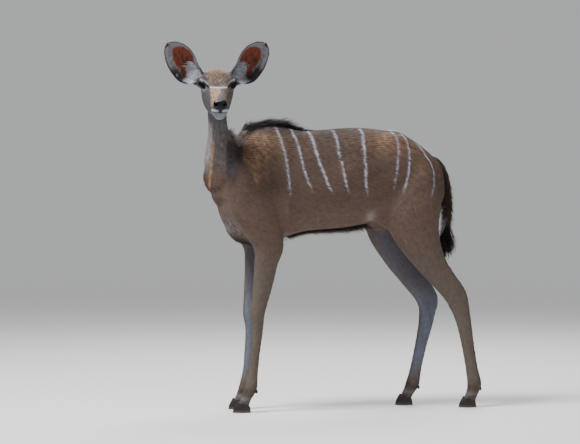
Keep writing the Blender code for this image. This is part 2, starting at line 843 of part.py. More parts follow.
def detail_head(head):
    """Gives the head its lids, eye sockets, line of mouth and nostrils."""
    slot = mouth_slot(head)
    lids = [eye_ball("lids", sign, EYE_RADIUS + LID_THICKNESS) for sign in (-1, 1)]
    boolean(head, lids, "UNION")
    cuts = [eye_ball("socket", sign, EYE_RADIUS + EYE_GAP) for sign in (-1, 1)]
    cuts.extend(eye_opening(sign) for sign in (-1, 1))
    boolean(head, cuts, "DIFFERENCE")
    boolean(head, [slot, nostril(-1), nostril(1)], "DIFFERENCE")
    keep_largest(head)


def ear(name, sign):
    """An ear: a thin cup on a solid root, its hollow facing ahead and a little out."""
    reach, side, rise = EAR_BASE
    base = head_point(reach, sign * side, rise)
    reach, side, rise = EAR_TIP
    axis = head_point(reach, sign * side, rise) - base
    length = axis.length
    axis.normalize()
    open_to = HEAD_AHEAD * math.cos(EAR_TURN_OUT) + HEAD_LEFT * sign * math.sin(EAR_TURN_OUT)
    open_to = (open_to - axis * open_to.dot(axis)).normalized()
    outward = open_to.cross(axis).normalized()
    if outward.dot(HEAD_LEFT) * sign < 0:
        outward = -outward
    bm = bmesh.new()
    count = 8
    rows = []
    for share, half_width, depth, outward_set in EAR:
        radius = (half_width ** 2 + depth ** 2) / (2 * depth)
        limit = math.atan2(half_width, radius - depth)
        low, high = EAR_FLOOR
        filled = 1 - min(1.0, max(0.0, (share - low) / (high - low)))
        middle = base + axis * length * share + outward * outward_set - open_to * depth * 0.5
        outer, inner = [], []
        for k in range(count):
            part = 2 * k / (count - 1) - 1
            angle = limit * part
            thick = min(EAR_THICKNESS * (1 - 0.5 * part ** 4), radius * 0.5)
            deep = radius - thick
            outer.append((radius * math.sin(angle), radius * (1 - math.cos(angle))))
            hollow = (deep * math.sin(angle), radius - deep * math.cos(angle))
            front = (half_width * 0.92 * part, depth + 0.003 * (1 - part * part) - 0.001)
            inner.append(tuple(h + (f - h) * filled for h, f in zip(hollow, front)))
        ring = []
        for across, forward in outer + inner[::-1]:
            ring.append(bm.verts.new(middle + outward * across + open_to * forward))
        rows.append(ring)
    for first, second in zip(rows, rows[1:]):
        for k in range(2 * count):
            after = (k + 1) % (2 * count)
            bm.faces.new((first[k], first[after], second[after], second[k]))
    for ring in (rows[0][::-1], rows[-1]):
        for k in range(count - 1):
            bm.faces.new((ring[k], ring[k + 1], ring[-2 - k], ring[-1 - k]))
    return from_bmesh(name, bm, "ear")


def claw(name, rows, foot_side, sign):
    """One claw of a hoof, its sole flat on the floor and its top under the coronet's slope."""
    middle, _ = middle_at(rows, CORONET_HEIGHT)
    slope = math.tan(CORONET_SLOPE)
    bm = bmesh.new()
    rings = []
    for level, toe, heel, width in CLAW_LEVELS:
        ring = []
        for forward, out in CLAW:
            x = middle.x - forward * (TOE_REACH * toe if forward > 0 else HEEL_REACH * heel)
            y = foot_side + sign * (HOOF_SPLIT / 2 + HOOF_WIDTH * width * out)
            top = CORONET_HEIGHT - slope * (x - middle.x) - GAP / 2 / math.cos(CORONET_SLOPE)
            ring.append(bm.verts.new((x, y, top * level)))
        rings.append(ring)
    for first, second in zip(rings, rings[1:]):
        for k in range(len(CLAW)):
            after = (k + 1) % len(CLAW)
            bm.faces.new((first[k], first[after], second[after], second[k]))
    bm.faces.new(rings[0])
    bm.faces.new(rings[-1])
    bmesh.ops.triangulate(bm, faces=bm.faces[:])
    return from_bmesh(name, bm, "horn")


def dewclaw(name, rows, foot_side, sign, fetlock):
    """A small hanging claw behind the fetlock."""
    x, z, _, aft, _ = rows[fetlock]
    centre = Vector((x + aft * 0.98, foot_side + sign * 0.0125, z - 0.016))
    down = Vector((0.42, sign * 0.15, -0.90)).normalized()
    back = down.cross(Vector((0, 1, 0))).normalized()
    axes = (back, down.cross(back), down)
    return ellipsoid(name, centre, axes, DEWCLAW_RADII, 7, 4)


def lock(root, lie, bend, flat, length, size):
    """A flat, tapered lock of hair. It leaves its root along lie and bends over to bend."""
    width, thickness = size
    bm = bmesh.new()
    profile = ((0.0, 0.85), (0.32, 1.0), (0.66, 0.84), (0.88, 0.50))
    rings = []
    for share, wide in profile:
        middle = root + lie * length * share + bend * length * share * share
        along = (lie + bend * 2 * share).normalized()
        across = along.cross(flat).normalized()
        up = across.cross(along)
        halves = (across * width * wide / 2, up * thickness * wide / 2)
        points = (halves[0], halves[1], -halves[0], -halves[1])
        rings.append([bm.verts.new(middle + point) for point in points])
    tip = bm.verts.new(root + (lie + bend) * length)
    for first, second in zip(rings, rings[1:]):
        for k in range(4):
            after = (k + 1) % 4
            bm.faces.new((first[k], first[after], second[after], second[k]))
    for k in range(4):
        bm.faces.new((rings[-1][k], rings[-1][(k + 1) % 4], tip))
    bm.faces.new(rings[0][::-1])
    return from_bmesh("lock", bm)


def tree_of(item):
    """A search tree of the object's surface."""
    bm = bmesh.new()
    bm.from_mesh(item.data)
    tree = BVHTree.FromBMesh(bm)
    bm.free()
    return tree


def tail_sections():
    """The tail from inside the rump down to where its tuft begins."""
    middles = [Vector(row[0]) for row in TAIL]
    found = []
    for i, (_, half_depth, half_width) in enumerate(TAIL):
        along = (middles[min(i + 1, len(TAIL) - 1)] - middles[max(i - 1, 0)]).normalized()
        back = Vector((0, 1, 0)).cross(along).normalized() * half_depth
        found.append(Section(middles[i] - back, middles[i] + back, half_width))
    return found


def spread(low, high, count, draw):
    """Evenly spread values from low to high, each a little off its place."""
    step = (high - low) / (count - 1)
    return [low + step * (k + draw.uniform(-0.3, 0.3)) for k in range(count)]


def crest_locks(node, low, high, count, draw):
    """The mane of the withers: dark locks that stand up and sweep back along the ridge."""
    tree = tree_of(node)
    found = []
    for side in (-0.012, 0.0, 0.012):
        for x in spread(low, high, count, draw):
            skin, normal, _, _ = tree.ray_cast(Vector((x, side, 2.0)), Vector((0, 0, -1)))
            height = 1.0 - 0.40 * abs(2 * (x - low) / (high - low) - 0.75) ** 2
            lie = Vector((0.76 + draw.uniform(-0.1, 0.1), side * 9, 0.50)).normalized()
            bend = Vector((0.32, draw.uniform(-0.1, 0.1), -0.24))
            flat = Vector((draw.uniform(-0.2, 0.2), 1, draw.uniform(-0.2, 0.2)))
            length = CREST_LENGTH * height * draw.uniform(0.85, 1.15)
            found.append(lock(skin - normal * ROOT_DEPTH, lie, bend, flat, length, CREST_LOCK))
    return found


def nape_locks(node, count, draw):
    """The mane of the neck: short locks that lie down the back of it."""
    tree = tree_of(node)
    middles = [Vector(row[0]) for row in NECK]
    found = []
    for turn_out in (-0.28, 0.28):
        for share in spread(*NAPE_REACH, count, draw):
            i = int(share)
            near = middles[i].lerp(middles[i + 1], share - i)
            along = (middles[i + 1] - middles[i]).normalized()
            turned = NECK[i][3] + (NECK[i + 1][3] - NECK[i][3]) * (share - i)
            nape = -heading(math.radians(turned) + turn_out)
            nape = (nape - along * nape.dot(along)).normalized()
            skin, normal, _, _ = tree.ray_cast(near + nape * 0.3, -nape)
            if skin is None or (skin - near).length > 0.16:
                continue
            lie = (nape * 0.42 - along * 0.90).normalized()
            bend = -along * 0.16 - nape * 0.20
            flat = nape.cross(along) + along * draw.uniform(-0.3, 0.3)
            length = NAPE_LENGTH * draw.uniform(0.85, 1.15)
            found.append(lock(skin - normal * ROOT_DEPTH, lie, bend, flat, length, NAPE_LOCK))
    return found


def fringe_locks(node, low, high, count, draw):
    """The dark fringe under the belly, longer to the rear."""
    tree = tree_of(node)
    found = []
    for side in (-0.018, 0.0, 0.018):
        for x in spread(low, high, count, draw):
            skin, normal, _, _ = tree.ray_cast(Vector((x, side, 0.2)), Vector((0, 0, 1)))
            lie = Vector((0.38 + draw.uniform(-0.12, 0.12), side * 9, -0.90)).normalized()
            bend = Vector((0.26, 0, 0.14))
            share = min(1.0, max(0.0, (x - FRINGE_REACH[0]) / (FRINGE_REACH[1] - FRINGE_REACH[0])))
            length = FRINGE_LENGTH[0] + (FRINGE_LENGTH[1] - FRINGE_LENGTH[0]) * share
            flat = Vector((draw.uniform(-0.25, 0.25), 1, 0))
            length *= draw.uniform(0.85, 1.1)
            found.append(lock(skin - normal * ROOT_DEPTH, lie, bend, flat, length, FRINGE_LOCK))
    return found


def tail_locks(draw):
    """The long hair down both edges of the tail, and its dark tuft."""
    found = []
    middles = [Vector(row[0]) for row in TAIL]
    last = len(TAIL) - 1
    for sign in (-1, 1):
        for share in spread(2.2, last - 0.8, 4, draw):
            i = int(share)
            width = TAIL[i][2] + (TAIL[i + 1][2] - TAIL[i][2]) * (share - i)
            root = middles[i].lerp(middles[i + 1], share - i) + Vector((0.002, sign * width * 0.62, 0))
            lie = Vector((0.10, sign * 0.30, -0.95)).normalized()
            bend = Vector((0.0, -sign * 0.10, -0.05))
            flat = Vector((1, sign * 0.5, 0))
            found.append(lock(root, lie, bend, flat, TAIL_EDGE_LENGTH, TAIL_EDGE_LOCK))
    count = 10
    for k in range(count):
        angle = 2 * math.pi * k / count
        out = Vector((math.cos(angle), math.sin(angle), 0))
        high = draw.uniform(0.0, 0.055)
        root = middles[last] + Vector((0, 0, high + 0.004)) + Vector((out.x * 0.003, out.y * 0.006, 0))
        lie = (out * draw.uniform(0.10, 0.24) + Vector((-0.05, 0, -1))).normalized()
        bend = -out * 0.12
        length = TUFT_LENGTH * draw.uniform(0.80, 1.05)
        found.append(lock(root, lie, bend, out, length, TUFT_LOCK))
    return found


def add_locks(node, locks):
    """Fuses the locks to the node, which stays one closed body."""
    boolean(node, locks, "UNION")
    keep_largest(node)


def coat_locks(nodes):
    """Adds the mane, the fringe and the tail's hair to the nodes that they grow from."""
    draw = random.Random(SEED)
    front, middle = nodes["torso_front"], nodes["torso_middle"]
    crest = crest_locks(front, *CREST_REACH, 10, draw)
    add_locks(front, crest + fringe_locks(front, FRINGE_REACH[0], -0.145, 2, draw))
    add_locks(middle, fringe_locks(middle, -0.105, FRINGE_REACH[1], 7, draw))
    add_locks(nodes["neck"], nape_locks(nodes["neck"], 11, draw))
    add_locks(nodes["tail"], tail_locks(draw))
    cut_clear(nodes["torso_front"], [nodes["torso_middle"]])
    cut_clear(nodes["torso_middle"], [nodes["torso_rear"]])
    cut_clear(nodes["neck"], [nodes["torso_front"], nodes["head"]])
    cut_clear(nodes["tail"], [nodes["torso_rear"]])


def set_on_origin(items):
    """Moves everything so that the origin lies under the middle of it all, on the floor."""
    points = [vertex.co for item in items for vertex in item.data.vertices]
    lows = [min(point[i] for point in points) for i in range(3)]
    highs = [max(point[i] for point in points) for i in range(3)]
    move = Vector((-(lows[0] + highs[0]) / 2, -(lows[1] + highs[1]) / 2, -lows[2]))
    for item in items:
        item.data.transform(Matrix.Translation(move))


def main():
    """Builds every node of the animal."""
    clear_scene()
    nodes = part_flesh(fused_flesh())
    for name, node in nodes.items():
        slot = "leg" if "cannon" in name or "pastern" in name else "coat"
        node.data.materials.append(material(slot))
    head = nodes["head"]
    for side, sign in (("left", 1), ("right", -1)):
        nodes["ear_" + side] = ear("ear_" + side, sign)
        cut_clear(nodes["ear_" + side], [head])
        nodes["eye_" + side] = eye_ball("eye_" + side, sign, EYE_RADIUS)
        nodes["eye_" + side].data.materials.append(material("eye"))
    detail_head(head)
    for name, rows, sides, sign, _ in legs():
        pastern = nodes[name + "_pastern"]
        fetlock = 13 if name.startswith("foreleg") else 9
        for place, outer in (("outer", sign), ("inner", -sign)):
            foot_side = sign * sides[-1]
            horn = claw(name + "_claw_" + place, rows, foot_side, outer)
            nodes[horn.name] = horn
            spur = dewclaw(name + "_dewclaw_" + place, rows, foot_side, outer, fetlock)
            spur.data.materials.append(material("horn"))
            cut_clear(spur, [pastern])
            nodes[spur.name] = spur
    nodes["tail"] = sweep("tail", tail_sections(), steps=2, sides=8)
    nodes["tail"].data.materials.append(material("tail"))
    coat_locks(nodes)
    set_on_origin(list(nodes.values()))


main()
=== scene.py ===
"""A greater kudu cow, life size, standing with her head turned to her left.

One skin takes the place of the solids of flesh, with the coat, mane, fringe and tail hair growing from it.
Sizes are in metres. Pieces are shaped in the body's own frame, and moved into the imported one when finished.
"""

import logging
import math
from dataclasses import dataclass, field
from enum import Enum
from typing import Any, Callable, Sequence

import bpy
import numpy as np
from mathutils import Matrix, Vector
from mathutils.bvhtree import BVHTree


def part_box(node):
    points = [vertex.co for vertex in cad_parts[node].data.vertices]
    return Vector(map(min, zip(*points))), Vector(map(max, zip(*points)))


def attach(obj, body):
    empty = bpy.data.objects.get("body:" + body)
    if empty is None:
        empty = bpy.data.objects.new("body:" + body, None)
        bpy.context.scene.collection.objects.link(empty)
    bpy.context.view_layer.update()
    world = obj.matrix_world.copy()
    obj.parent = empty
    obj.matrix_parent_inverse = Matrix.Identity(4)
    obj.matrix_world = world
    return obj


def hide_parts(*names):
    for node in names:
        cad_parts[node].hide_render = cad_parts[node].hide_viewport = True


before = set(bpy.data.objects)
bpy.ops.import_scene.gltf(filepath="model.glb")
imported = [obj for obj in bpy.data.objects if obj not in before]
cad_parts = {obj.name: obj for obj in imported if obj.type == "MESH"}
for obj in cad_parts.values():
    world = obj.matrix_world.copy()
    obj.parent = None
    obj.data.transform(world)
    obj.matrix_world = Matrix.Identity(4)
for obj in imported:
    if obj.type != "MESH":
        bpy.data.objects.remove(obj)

LOG = logging.getLogger("kudu")
COAT_MAP = "OFBake"
STRAND_MAP = "Strand"
HUE = "Hue"
BARE = "Bare"
SEED = 11
BATCH = 20000

Array = np.ndarray
Object = bpy.types.Object
Material = bpy.types.Material
Settings = dict[str, Any]
Colour = tuple[float, float, float]
Row = tuple[float, ...]
Line = tuple[Row, ...]
Pair = tuple[Array, Array]


# ---- Numbers ----


def unit(vectors: Array) -> Array:
    """The vectors at length one."""
    return vectors / np.maximum(np.linalg.norm(vectors, axis=-1, keepdims=True), 1e-12)


def ease(low: float, high: float, values: Array | float) -> Array:
    """A smooth rise from 0 at low to 1 at high.

    Args:
        low: Where the rise starts. It may be the greater of the two, for a fall.
        high: Where it ends.
        values: The values to read.

    Returns:
        One number from 0 to 1 for each value.
    """
    share = np.clip((values - low) / (high - low), 0.0, 1.0)
    return share * share * (3.0 - 2.0 * share)


def hill(points: Array, centre: Sequence[float], radii: Sequence[float]) -> Array:
    """A soft hill, 1 at its centre and gone a little past its radii."""
    away = (points - np.asarray(centre)) / np.asarray(radii)
    return np.exp(-np.sum(away * away, axis=-1))


def mottle(points: Array, size: float, seed: int) -> Array:
    """An uneven pattern from about -1 to 1, with patches of this size, the same each time."""
    draw = np.random.default_rng(seed)
    waves = unit(draw.normal(size=(7, 3))) * (math.pi / size) * draw.uniform(0.7, 1.4, size=(7, 1))
    starts = draw.uniform(0, 2 * math.pi, size=7)
    return np.sin(points @ waves.T + starts).sum(axis=-1) / 3.2


def bell(values: Array, width: float) -> Array:
    """1 where the values are 0, and gone a little past this width to either side."""
    return np.exp(-((values / width) ** 2))


def gap(points: Array, place: Array) -> Array:
    """How far points are from a place."""
    return np.linalg.norm(points - place, axis=1)


def mirrored(place: Sequence[float], sign: int) -> Array:
    """The place, or for a sign of -1 the one across the middle from it."""
    return np.array([place[0], place[1] * sign, place[2]])


def course(middles: Array) -> Array:
    """The way that a line of points goes at each of them."""
    padded = np.vstack([middles[:1], middles, middles[-1:]])
    return unit(padded[2:] - padded[:-2])


def mixed(first: Array, second: Sequence[float] | Array, share: Array) -> Array:
    """Colours that go from the first to the second by each share."""
    return first + (np.asarray(second) - first) * share[:, None]


def oval(first: Array, second: Array, centre: Row, radii: Row) -> Array:
    """How far out of an oval each pair of values is: 1 on its edge."""
    return np.hypot((first - centre[0]) / radii[0], (second - centre[1]) / radii[1])


def across_line(points: Array, line: Array) -> Pair:
    """How far points on a plane are from a broken line.

    Args:
        points: The points, two numbers each.
        line: The line's corners, two numbers each.

    Returns:
        Each point's distance from the line, and how far along it the nearest place is, from 0 to 1.
    """
    best = np.full(len(points), np.inf)
    along = np.zeros(len(points))
    lengths = np.linalg.norm(np.diff(line, axis=0), axis=1)
    done = 0.0
    for start, end, length in zip(line, line[1:], lengths):
        step = (end - start) / length
        reach = np.clip((points - start) @ step, 0.0, length)
        distance = np.linalg.norm(points - start - reach[:, None] * step, axis=1)
        nearer = distance < best
        best = np.where(nearer, distance, best)
        along = np.where(nearer, (done + reach) / lengths.sum(), along)
        done += length
    return best, along


# ---- Blender's tools ----


class Bench:
    """Blender's own tools, used on one object at a time."""

    @staticmethod
    def alone(item: Object) -> None:
        """Selects only this object, and makes it the active one."""
        bpy.ops.object.select_all(action="DESELECT")
        item.select_set(True)
        bpy.context.view_layer.objects.active = item

    @staticmethod
    def apply(item: Object, kind: str, **settings: Any) -> None:
        """Adds a modifier with these settings and applies it."""
        Bench.alone(item)
        modifier = item.modifiers.new(kind.lower(), kind)
        for name, value in settings.items():
            setattr(modifier, name, value)
        bpy.ops.object.modifier_apply(modifier=modifier.name)

    @staticmethod
    def join(items: Sequence[Object], name: str) -> Object:
        """Makes one object of several, whose meshes stay as they are.

        Args:
            items: The objects, of which the first stays.
            name: What it is called then.

        Returns:
            The joined object.
        """
        Bench.alone(items[0])
        for item in items:
            item.select_set(True)
        if len(items) > 1:
            bpy.ops.object.join()
        items[0].name = name
        items[0].data.name = name
        return items[0]

    @staticmethod
    def carve(item: Object, others: Sequence[Object], operation: str) -> None:
        """Unites closed objects with the item, or cuts them from it, and removes them.

        Args:
            item: The closed object that stays.
            others: The closed objects used up.
            operation: UNION or DIFFERENCE.
        """
        for other in others:
            before = len(item.data.vertices)
            Bench.apply(item, "BOOLEAN", operation=operation, object=other, solver="MANIFOLD")
            LOG.info("%s with %s: %d to %d points", operation, other.name, before, len(item.data.vertices))
            mesh = other.data
            bpy.data.objects.remove(other)
            bpy.data.meshes.remove(mesh)

    @staticmethod
    def edit(item: Object, operator: Callable[..., Any], every: bool = True, **settings: Any) -> None:
        """Runs one operator of the edit mode on all of the object, or only on what is selected in it.

        Args:
            item: The object.
            operator: The operator.
            every: False to keep what is selected in the mesh.
            **settings: What the operator is given.
        """
        Bench.alone(item)
        bpy.ops.object.mode_set(mode="EDIT")
        if every:
            bpy.ops.mesh.select_all(action="SELECT")
        operator(**settings)
        bpy.ops.object.mode_set(mode="OBJECT")

    @staticmethod
    def outwards(item: Object) -> None:
        """Turns the faces of a closed object outwards."""
        Bench.edit(item, bpy.ops.mesh.normals_make_consistent, inside=False)

    @staticmethod
    def split_faces(item: Object, chosen: Array) -> None:
        """Halves the edges of the chosen faces."""
        bpy.context.tool_settings.mesh_select_mode = (False, False, True)
        item.data.vertices.foreach_set("select", np.zeros(len(item.data.vertices), bool))
        item.data.edges.foreach_set("select", np.zeros(len(item.data.edges), bool))
        item.data.polygons.foreach_set("select", chosen)
        Bench.edit(item, bpy.ops.mesh.subdivide, every=False, number_cuts=1)

    @staticmethod
    def weigh(item: Object, name: str, weights: Array) -> None:
        """Gives the object a vertex group with these weights, in steps of a fiftieth."""
        group = item.vertex_groups.new(name=name)
        steps = np.round(weights * 50).astype(int)
        for step in np.unique(steps):
            if step > 0:
                group.add(np.nonzero(steps == step)[0].tolist(), step / 50, "REPLACE")

    @staticmethod
    def soften(item: Object, weights: Array, factor: float, rounds: int) -> None:
        """Smooths the object, as far as each point's weight lets it."""
        Bench.weigh(item, "soft", weights)
        Bench.apply(item, "SMOOTH", factor=factor, iterations=rounds, vertex_group="soft")
        item.vertex_groups.clear()

    @staticmethod
    def vectors(items: Any, name: str) -> Array:
        """The vector of this name of each point or face."""
        found = np.empty(len(items) * 3)
        items.foreach_get(name, found)
        return found.reshape(-1, 3)

    @staticmethod
    def points(item: Object) -> Array:
        """The places of the object's points."""
        return Bench.vectors(item.data.vertices, "co")

    @staticmethod
    def set_points(item: Object, points: Array) -> None:
        """Moves the object's points to these places."""
        item.data.vertices.foreach_set("co", points.ravel())
        item.data.update()

    @staticmethod
    def normals(item: Object) -> Array:
        """The directions in which the object's points face."""
        return Bench.vectors(item.data.vertices, "normal")

    @staticmethod
    def from_loops(name: str, loops: Sequence[Any]) -> Object:
        """A new closed object, whose walls join each loop of points to the next, with a face over each end.

        Args:
            name: What the new object is called.
            loops: Rings of points along the form, all with the same number.

        Returns:
            The object, facing outwards.
        """
        size = len(loops[0])
        last = size * (len(loops) - 1)
        faces = []
        for low in range(0, last, size):
            high = low + size
            for k in range(size):
                after = (k + 1) % size
                faces.append((low + k, low + after, high + after, high + k))
        faces.extend([tuple(range(size)), tuple(range(last, last + size))])
        mesh = bpy.data.meshes.new(name)
        mesh.from_pydata([tuple(p) for p in np.vstack(loops)], [], faces)
        made = bpy.data.objects.new(name, mesh)
        bpy.context.scene.collection.objects.link(made)
        Bench.outwards(made)
        return made

    @staticmethod
    def ball(name: str, centre: Array, axes: Sequence[Array], radii: Row, detail: int) -> Object:
        """A ball stretched along three directions, with its poles on the third.

        Args:
            name: What the new object is called.
            centre: Its middle.
            axes: The three directions.
            radii: How far it reaches along each.
            detail: How many faces it has round it.

        Returns:
            The ball.
        """
        bpy.ops.object.select_all(action="DESELECT")
        bpy.ops.mesh.primitive_uv_sphere_add(segments=detail, ring_count=detail // 2 + 2, radius=1.0)
        made = bpy.context.active_object
        made.name = name
        turned = Matrix([Vector(axis) * radius for axis, radius in zip(axes, radii)]).transposed()
        made.data.transform(Matrix.Translation(Vector(centre)) @ turned.to_4x4())
        Bench.outwards(made)
        return made

    @staticmethod
    def finish(item: Object, material: Material, shift: Array) -> None:
        """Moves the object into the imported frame, and gives it its one finish."""
        Bench.set_points(item, Bench.points(item) + shift)
        item.data.materials.clear()
        item.data.materials.append(material)

    @staticmethod
    def attribute(item: Object, name: str, values: Array) -> None:
        """Stores a number or a colour for each point of the object.

        Args:
            item: The object.
            name: The attribute's name.
            values: One number or three for each point.
        """
        if values.ndim == 1:
            stored = item.data.attributes.new(name, "FLOAT", "POINT")
            stored.data.foreach_set("value", values.astype(np.float32))
            return
        stored = item.data.attributes.new(name, "FLOAT_COLOR", "POINT")
        full = np.ones((len(values), 4), np.float32)
        full[:, :3] = values
        stored.data.foreach_set("color", full.ravel())


# ---- Finishes ----


class Wire:
    """A value on its way through a shader, which can be added, multiplied and so on."""

    def __init__(self, paint: "Paint", socket: bpy.types.NodeSocket) -> None:
        """Wraps an output socket."""
        self.paint = paint
        self.socket = socket

    def __add__(self, other: "Wire | float") -> "Wire":
        """The sum."""
        return self.paint.math("ADD", self, other)

    def __radd__(self, other: float) -> "Wire":
        """The sum, with the number first."""
        return self.paint.math("ADD", other, self)

    def __sub__(self, other: "Wire | float") -> "Wire":
        """The difference."""
        return self.paint.math("SUBTRACT", self, other)

    def __rsub__(self, other: float) -> "Wire":
        """The difference, with the number first."""
        return self.paint.math("SUBTRACT", other, self)

    def __mul__(self, other: "Wire | float") -> "Wire":
        """The product."""
        return self.paint.math("MULTIPLY", self, other)

    def __rmul__(self, other: float) -> "Wire":
        """The product, with the number first."""
        return self.paint.math("MULTIPLY", other, self)

    def __truediv__(self, other: "Wire | float") -> "Wire":
        """The quotient."""
        return self.paint.math("DIVIDE", self, other)


class Paint:
    """One material, and the ways to wire its nodes."""

    def __init__(self, name: str, roughness: float, **constants: float) -> None:
        """Starts the material with its constant numbers on the shader's own sockets.

        Args:
            name: The material's name.
            roughness: How rough it is.
            **constants: A number for each further socket, by its name.
        """
        self.material = bpy.data.materials.new(name)
        self.material.use_nodes = True
        self.nodes = self.material.node_tree.nodes
        self.links = self.material.node_tree.links
        self.shader = self.nodes["Principled BSDF"]
        self.shader.inputs["Roughness"].default_value = roughness
        for socket, value in constants.items():
            self.shader.inputs[socket.replace("_", " ").title().replace("Ior", "IOR")].default_value = value

    def node(self, kind: str, settings: Settings | None = None, output: int | str = 0, **values: Any) -> Wire:
        """Adds a node.

        Args:
            kind: The node's type, without ShaderNode before it.
            settings: What is set on the node itself, before its sockets.
            output: Which of its outputs is wanted.
            **values: A number, colour or wire for each socket, by its name, or by i and its index.

        Returns:
            The wire from the wanted output.
        """
        made = self.nodes.new("ShaderNode" + kind)
        for name, value in (settings or {}).items():
            setattr(made, name, value)
        for name, value in values.items():
            is_index = name[0] == "i" and name[1:].isdigit()
            socket = made.inputs[int(name[1:]) if is_index else name.replace("_", " ")]
            if isinstance(value, Wire):
                self.links.new(value.socket, socket)
            else:
                socket.default_value = value
        return Wire(self, made.outputs[output])

    def math(self, operation: str, *values: "Wire | float") -> Wire:
        """A Math node on one, two or three values."""
        sockets = {f"i{index}": value for index, value in enumerate(values)}
        return self.node("Math", {"operation": operation}, **sockets)

    def vector(self, operation: str, *values: Any, output: int | str = 0) -> Wire:
        """A Vector Math node on its values."""
        sockets = {f"i{index}": value for index, value in enumerate(values)}
        return self.node("VectorMath", {"operation": operation}, output, **sockets)

    def scaled(self, colour: Wire, amount: Wire) -> Wire:
        """A colour made lighter or darker by an amount."""
        return self.node("VectorMath", {"operation": "SCALE"}, 0, i0=colour, Scale=amount)

    def blend(self, share: "Wire | float", first: Any, second: Any) -> Wire:
        """A colour between two colours."""
        settings = {"data_type": "RGBA"}
        return self.node("Mix", settings, 2, i0=share, i6=self.rgba(first), i7=self.rgba(second))

    @staticmethod
    def rgba(colour: Any) -> Any:
        """A colour with its fourth number, or the wire as it is."""
        return colour if isinstance(colour, Wire) else (*colour, 1.0)

    def step(self, value: Wire, low: float, high: float) -> Wire:
        """A rise from 0 to 1 as the value goes from low to high."""
        settings = {"interpolation_type": "SMOOTHSTEP"}
        return self.node("MapRange", settings, 0, Value=value, From_Min=low, From_Max=high)

    def noise(self, place: Wire, scale: float, detail: float = 2.0, output: int | str = 0) -> Wire:
        """A noise pattern at the place."""
        return self.node("TexNoise", None, output, Vector=place, Scale=scale, Detail=detail)

    def place(self) -> Wire:
        """The place on the object."""
        return self.node("TexCoord", None, "Object")

    def stretched(self, place: Wire, scale: Row) -> Wire:
        """The place, drawn out or squeezed along each axis."""
        return self.vector("MULTIPLY", place, scale)

    def feed(self, socket: str, value: Wire) -> None:
        """Leads a wire to one of the shader's sockets."""
        self.links.new(value.socket, self.shader.inputs[socket])

    def raise_by(self, height: Wire, distance: float, strength: float = 1.0) -> None:
        """Leads a height to the shader as a bump."""
        bump = self.node("Bump", None, 0, Height=height, Distance=distance, Strength=strength)
        self.feed("Normal", bump)


@dataclass(frozen=True)
class HideFinish:
    """The skin under and between the tufts: short flat hair, and wet leather where it is bare."""

    hair_roughness: float = 0.72
    leather_roughness: float = 0.24
    grain_scale: float = 420.0
    patch_scale: float = 60.0

    def make(self) -> Material:
        """Builds the material.

        Returns:
            The material.
        """
        paint = Paint("kudu_hide", self.hair_roughness, specular_ior_level=0.22)
        place = paint.place()
        hue = paint.node("Attribute", {"attribute_name": HUE}, "Color")
        bare = paint.node("Attribute", {"attribute_name": BARE}, "Fac")
        grain = paint.noise(paint.stretched(place, (0.35, 1.0, 1.0)), self.grain_scale, 3.0)
        patch = paint.noise(place, self.patch_scale, 2.0)
        pebbles = paint.node("TexVoronoi", None, "Distance", Vector=place, Scale=620.0)
        light = 0.78 + grain * 0.30 + patch * 0.14
        paint.feed("Base Color", paint.scaled(hue, light))
        gap = self.leather_roughness - self.hair_roughness
        paint.feed("Roughness", bare * gap + self.hair_roughness + (grain - 0.5) * 0.12)
        height = grain * (1.0 - bare) + pebbles * bare * 0.2
        paint.raise_by(height, 0.0007, 0.8)
        return paint.material


@dataclass(frozen=True)
class HairFinish:
    """Tufts and locks: the colour of their roots' place, with fine strands along each."""

    name: str
    roughness: float
    strands: float
    depth: float

    def make(self) -> Material:
        """Builds the material.

        Returns:
            The material.
        """
        paint = Paint(self.name, self.roughness, specular_ior_level=0.18)
        hue = paint.node("Attribute", {"attribute_name": HUE}, "Color")
        lay = paint.node("UVMap", {"uv_map": STRAND_MAP})
        strand = paint.noise(paint.stretched(lay, (self.strands, 40.0, 1.0)), 1.0, 2.0)
        paint.feed("Base Color", paint.scaled(hue, 0.70 + strand * 0.60))
        paint.feed("Roughness", self.roughness + (strand - 0.5) * 0.20)
        paint.raise_by(strand, self.depth, 0.7)
        return paint.material


@dataclass(frozen=True)
class EyeFinish:
    """A large dark eye: a brown iris with fine rays, a level oval pupil and a wet surface."""

    name: str
    centre: Row
    gaze: Row
    across: Row
    up: Row
    radius: float

    def make(self) -> Material:
        """Builds the material.

        Returns:
            The material.
        """
        paint = Paint(self.name, 0.08, coat_weight=0.0, specular_ior_level=0.09)
        place = paint.vector("SUBTRACT", paint.place(), self.centre)
        sideways = paint.vector("DOT_PRODUCT", place, self.across, output="Value") / self.radius
        upwards = paint.vector("DOT_PRODUCT", place, self.up, output="Value") / self.radius
        ahead = paint.vector("DOT_PRODUCT", place, self.gaze, output="Value") / self.radius
        off = paint.math("SQRT", sideways * sideways + upwards * upwards)
        oval = paint.math("SQRT", sideways * sideways * 2.6 + upwards * upwards * 7.5)
        turn = paint.math("ARCTAN2", upwards, sideways)
        rays = paint.node("TexNoise", {"noise_dimensions": "1D"}, 0, W=turn * 9.0, Scale=2.4, Detail=2.0)
        iris = paint.blend(rays, (0.008, 0.004, 0.003), (0.026, 0.012, 0.007))
        rimmed = paint.blend(paint.step(off, 0.58, 0.72), iris, (0.006, 0.004, 0.004))
        white = paint.blend(paint.step(off, 0.78, 0.92), rimmed, (0.030, 0.022, 0.020))
        dark = paint.blend(1.0 - paint.step(oval, 0.80, 1.0), white, (0.002, 0.002, 0.003))
        paint.feed("Base Color", paint.blend(paint.step(ahead, 0.1, -0.1), dark, (0.02, 0.015, 0.014)))
        return paint.material


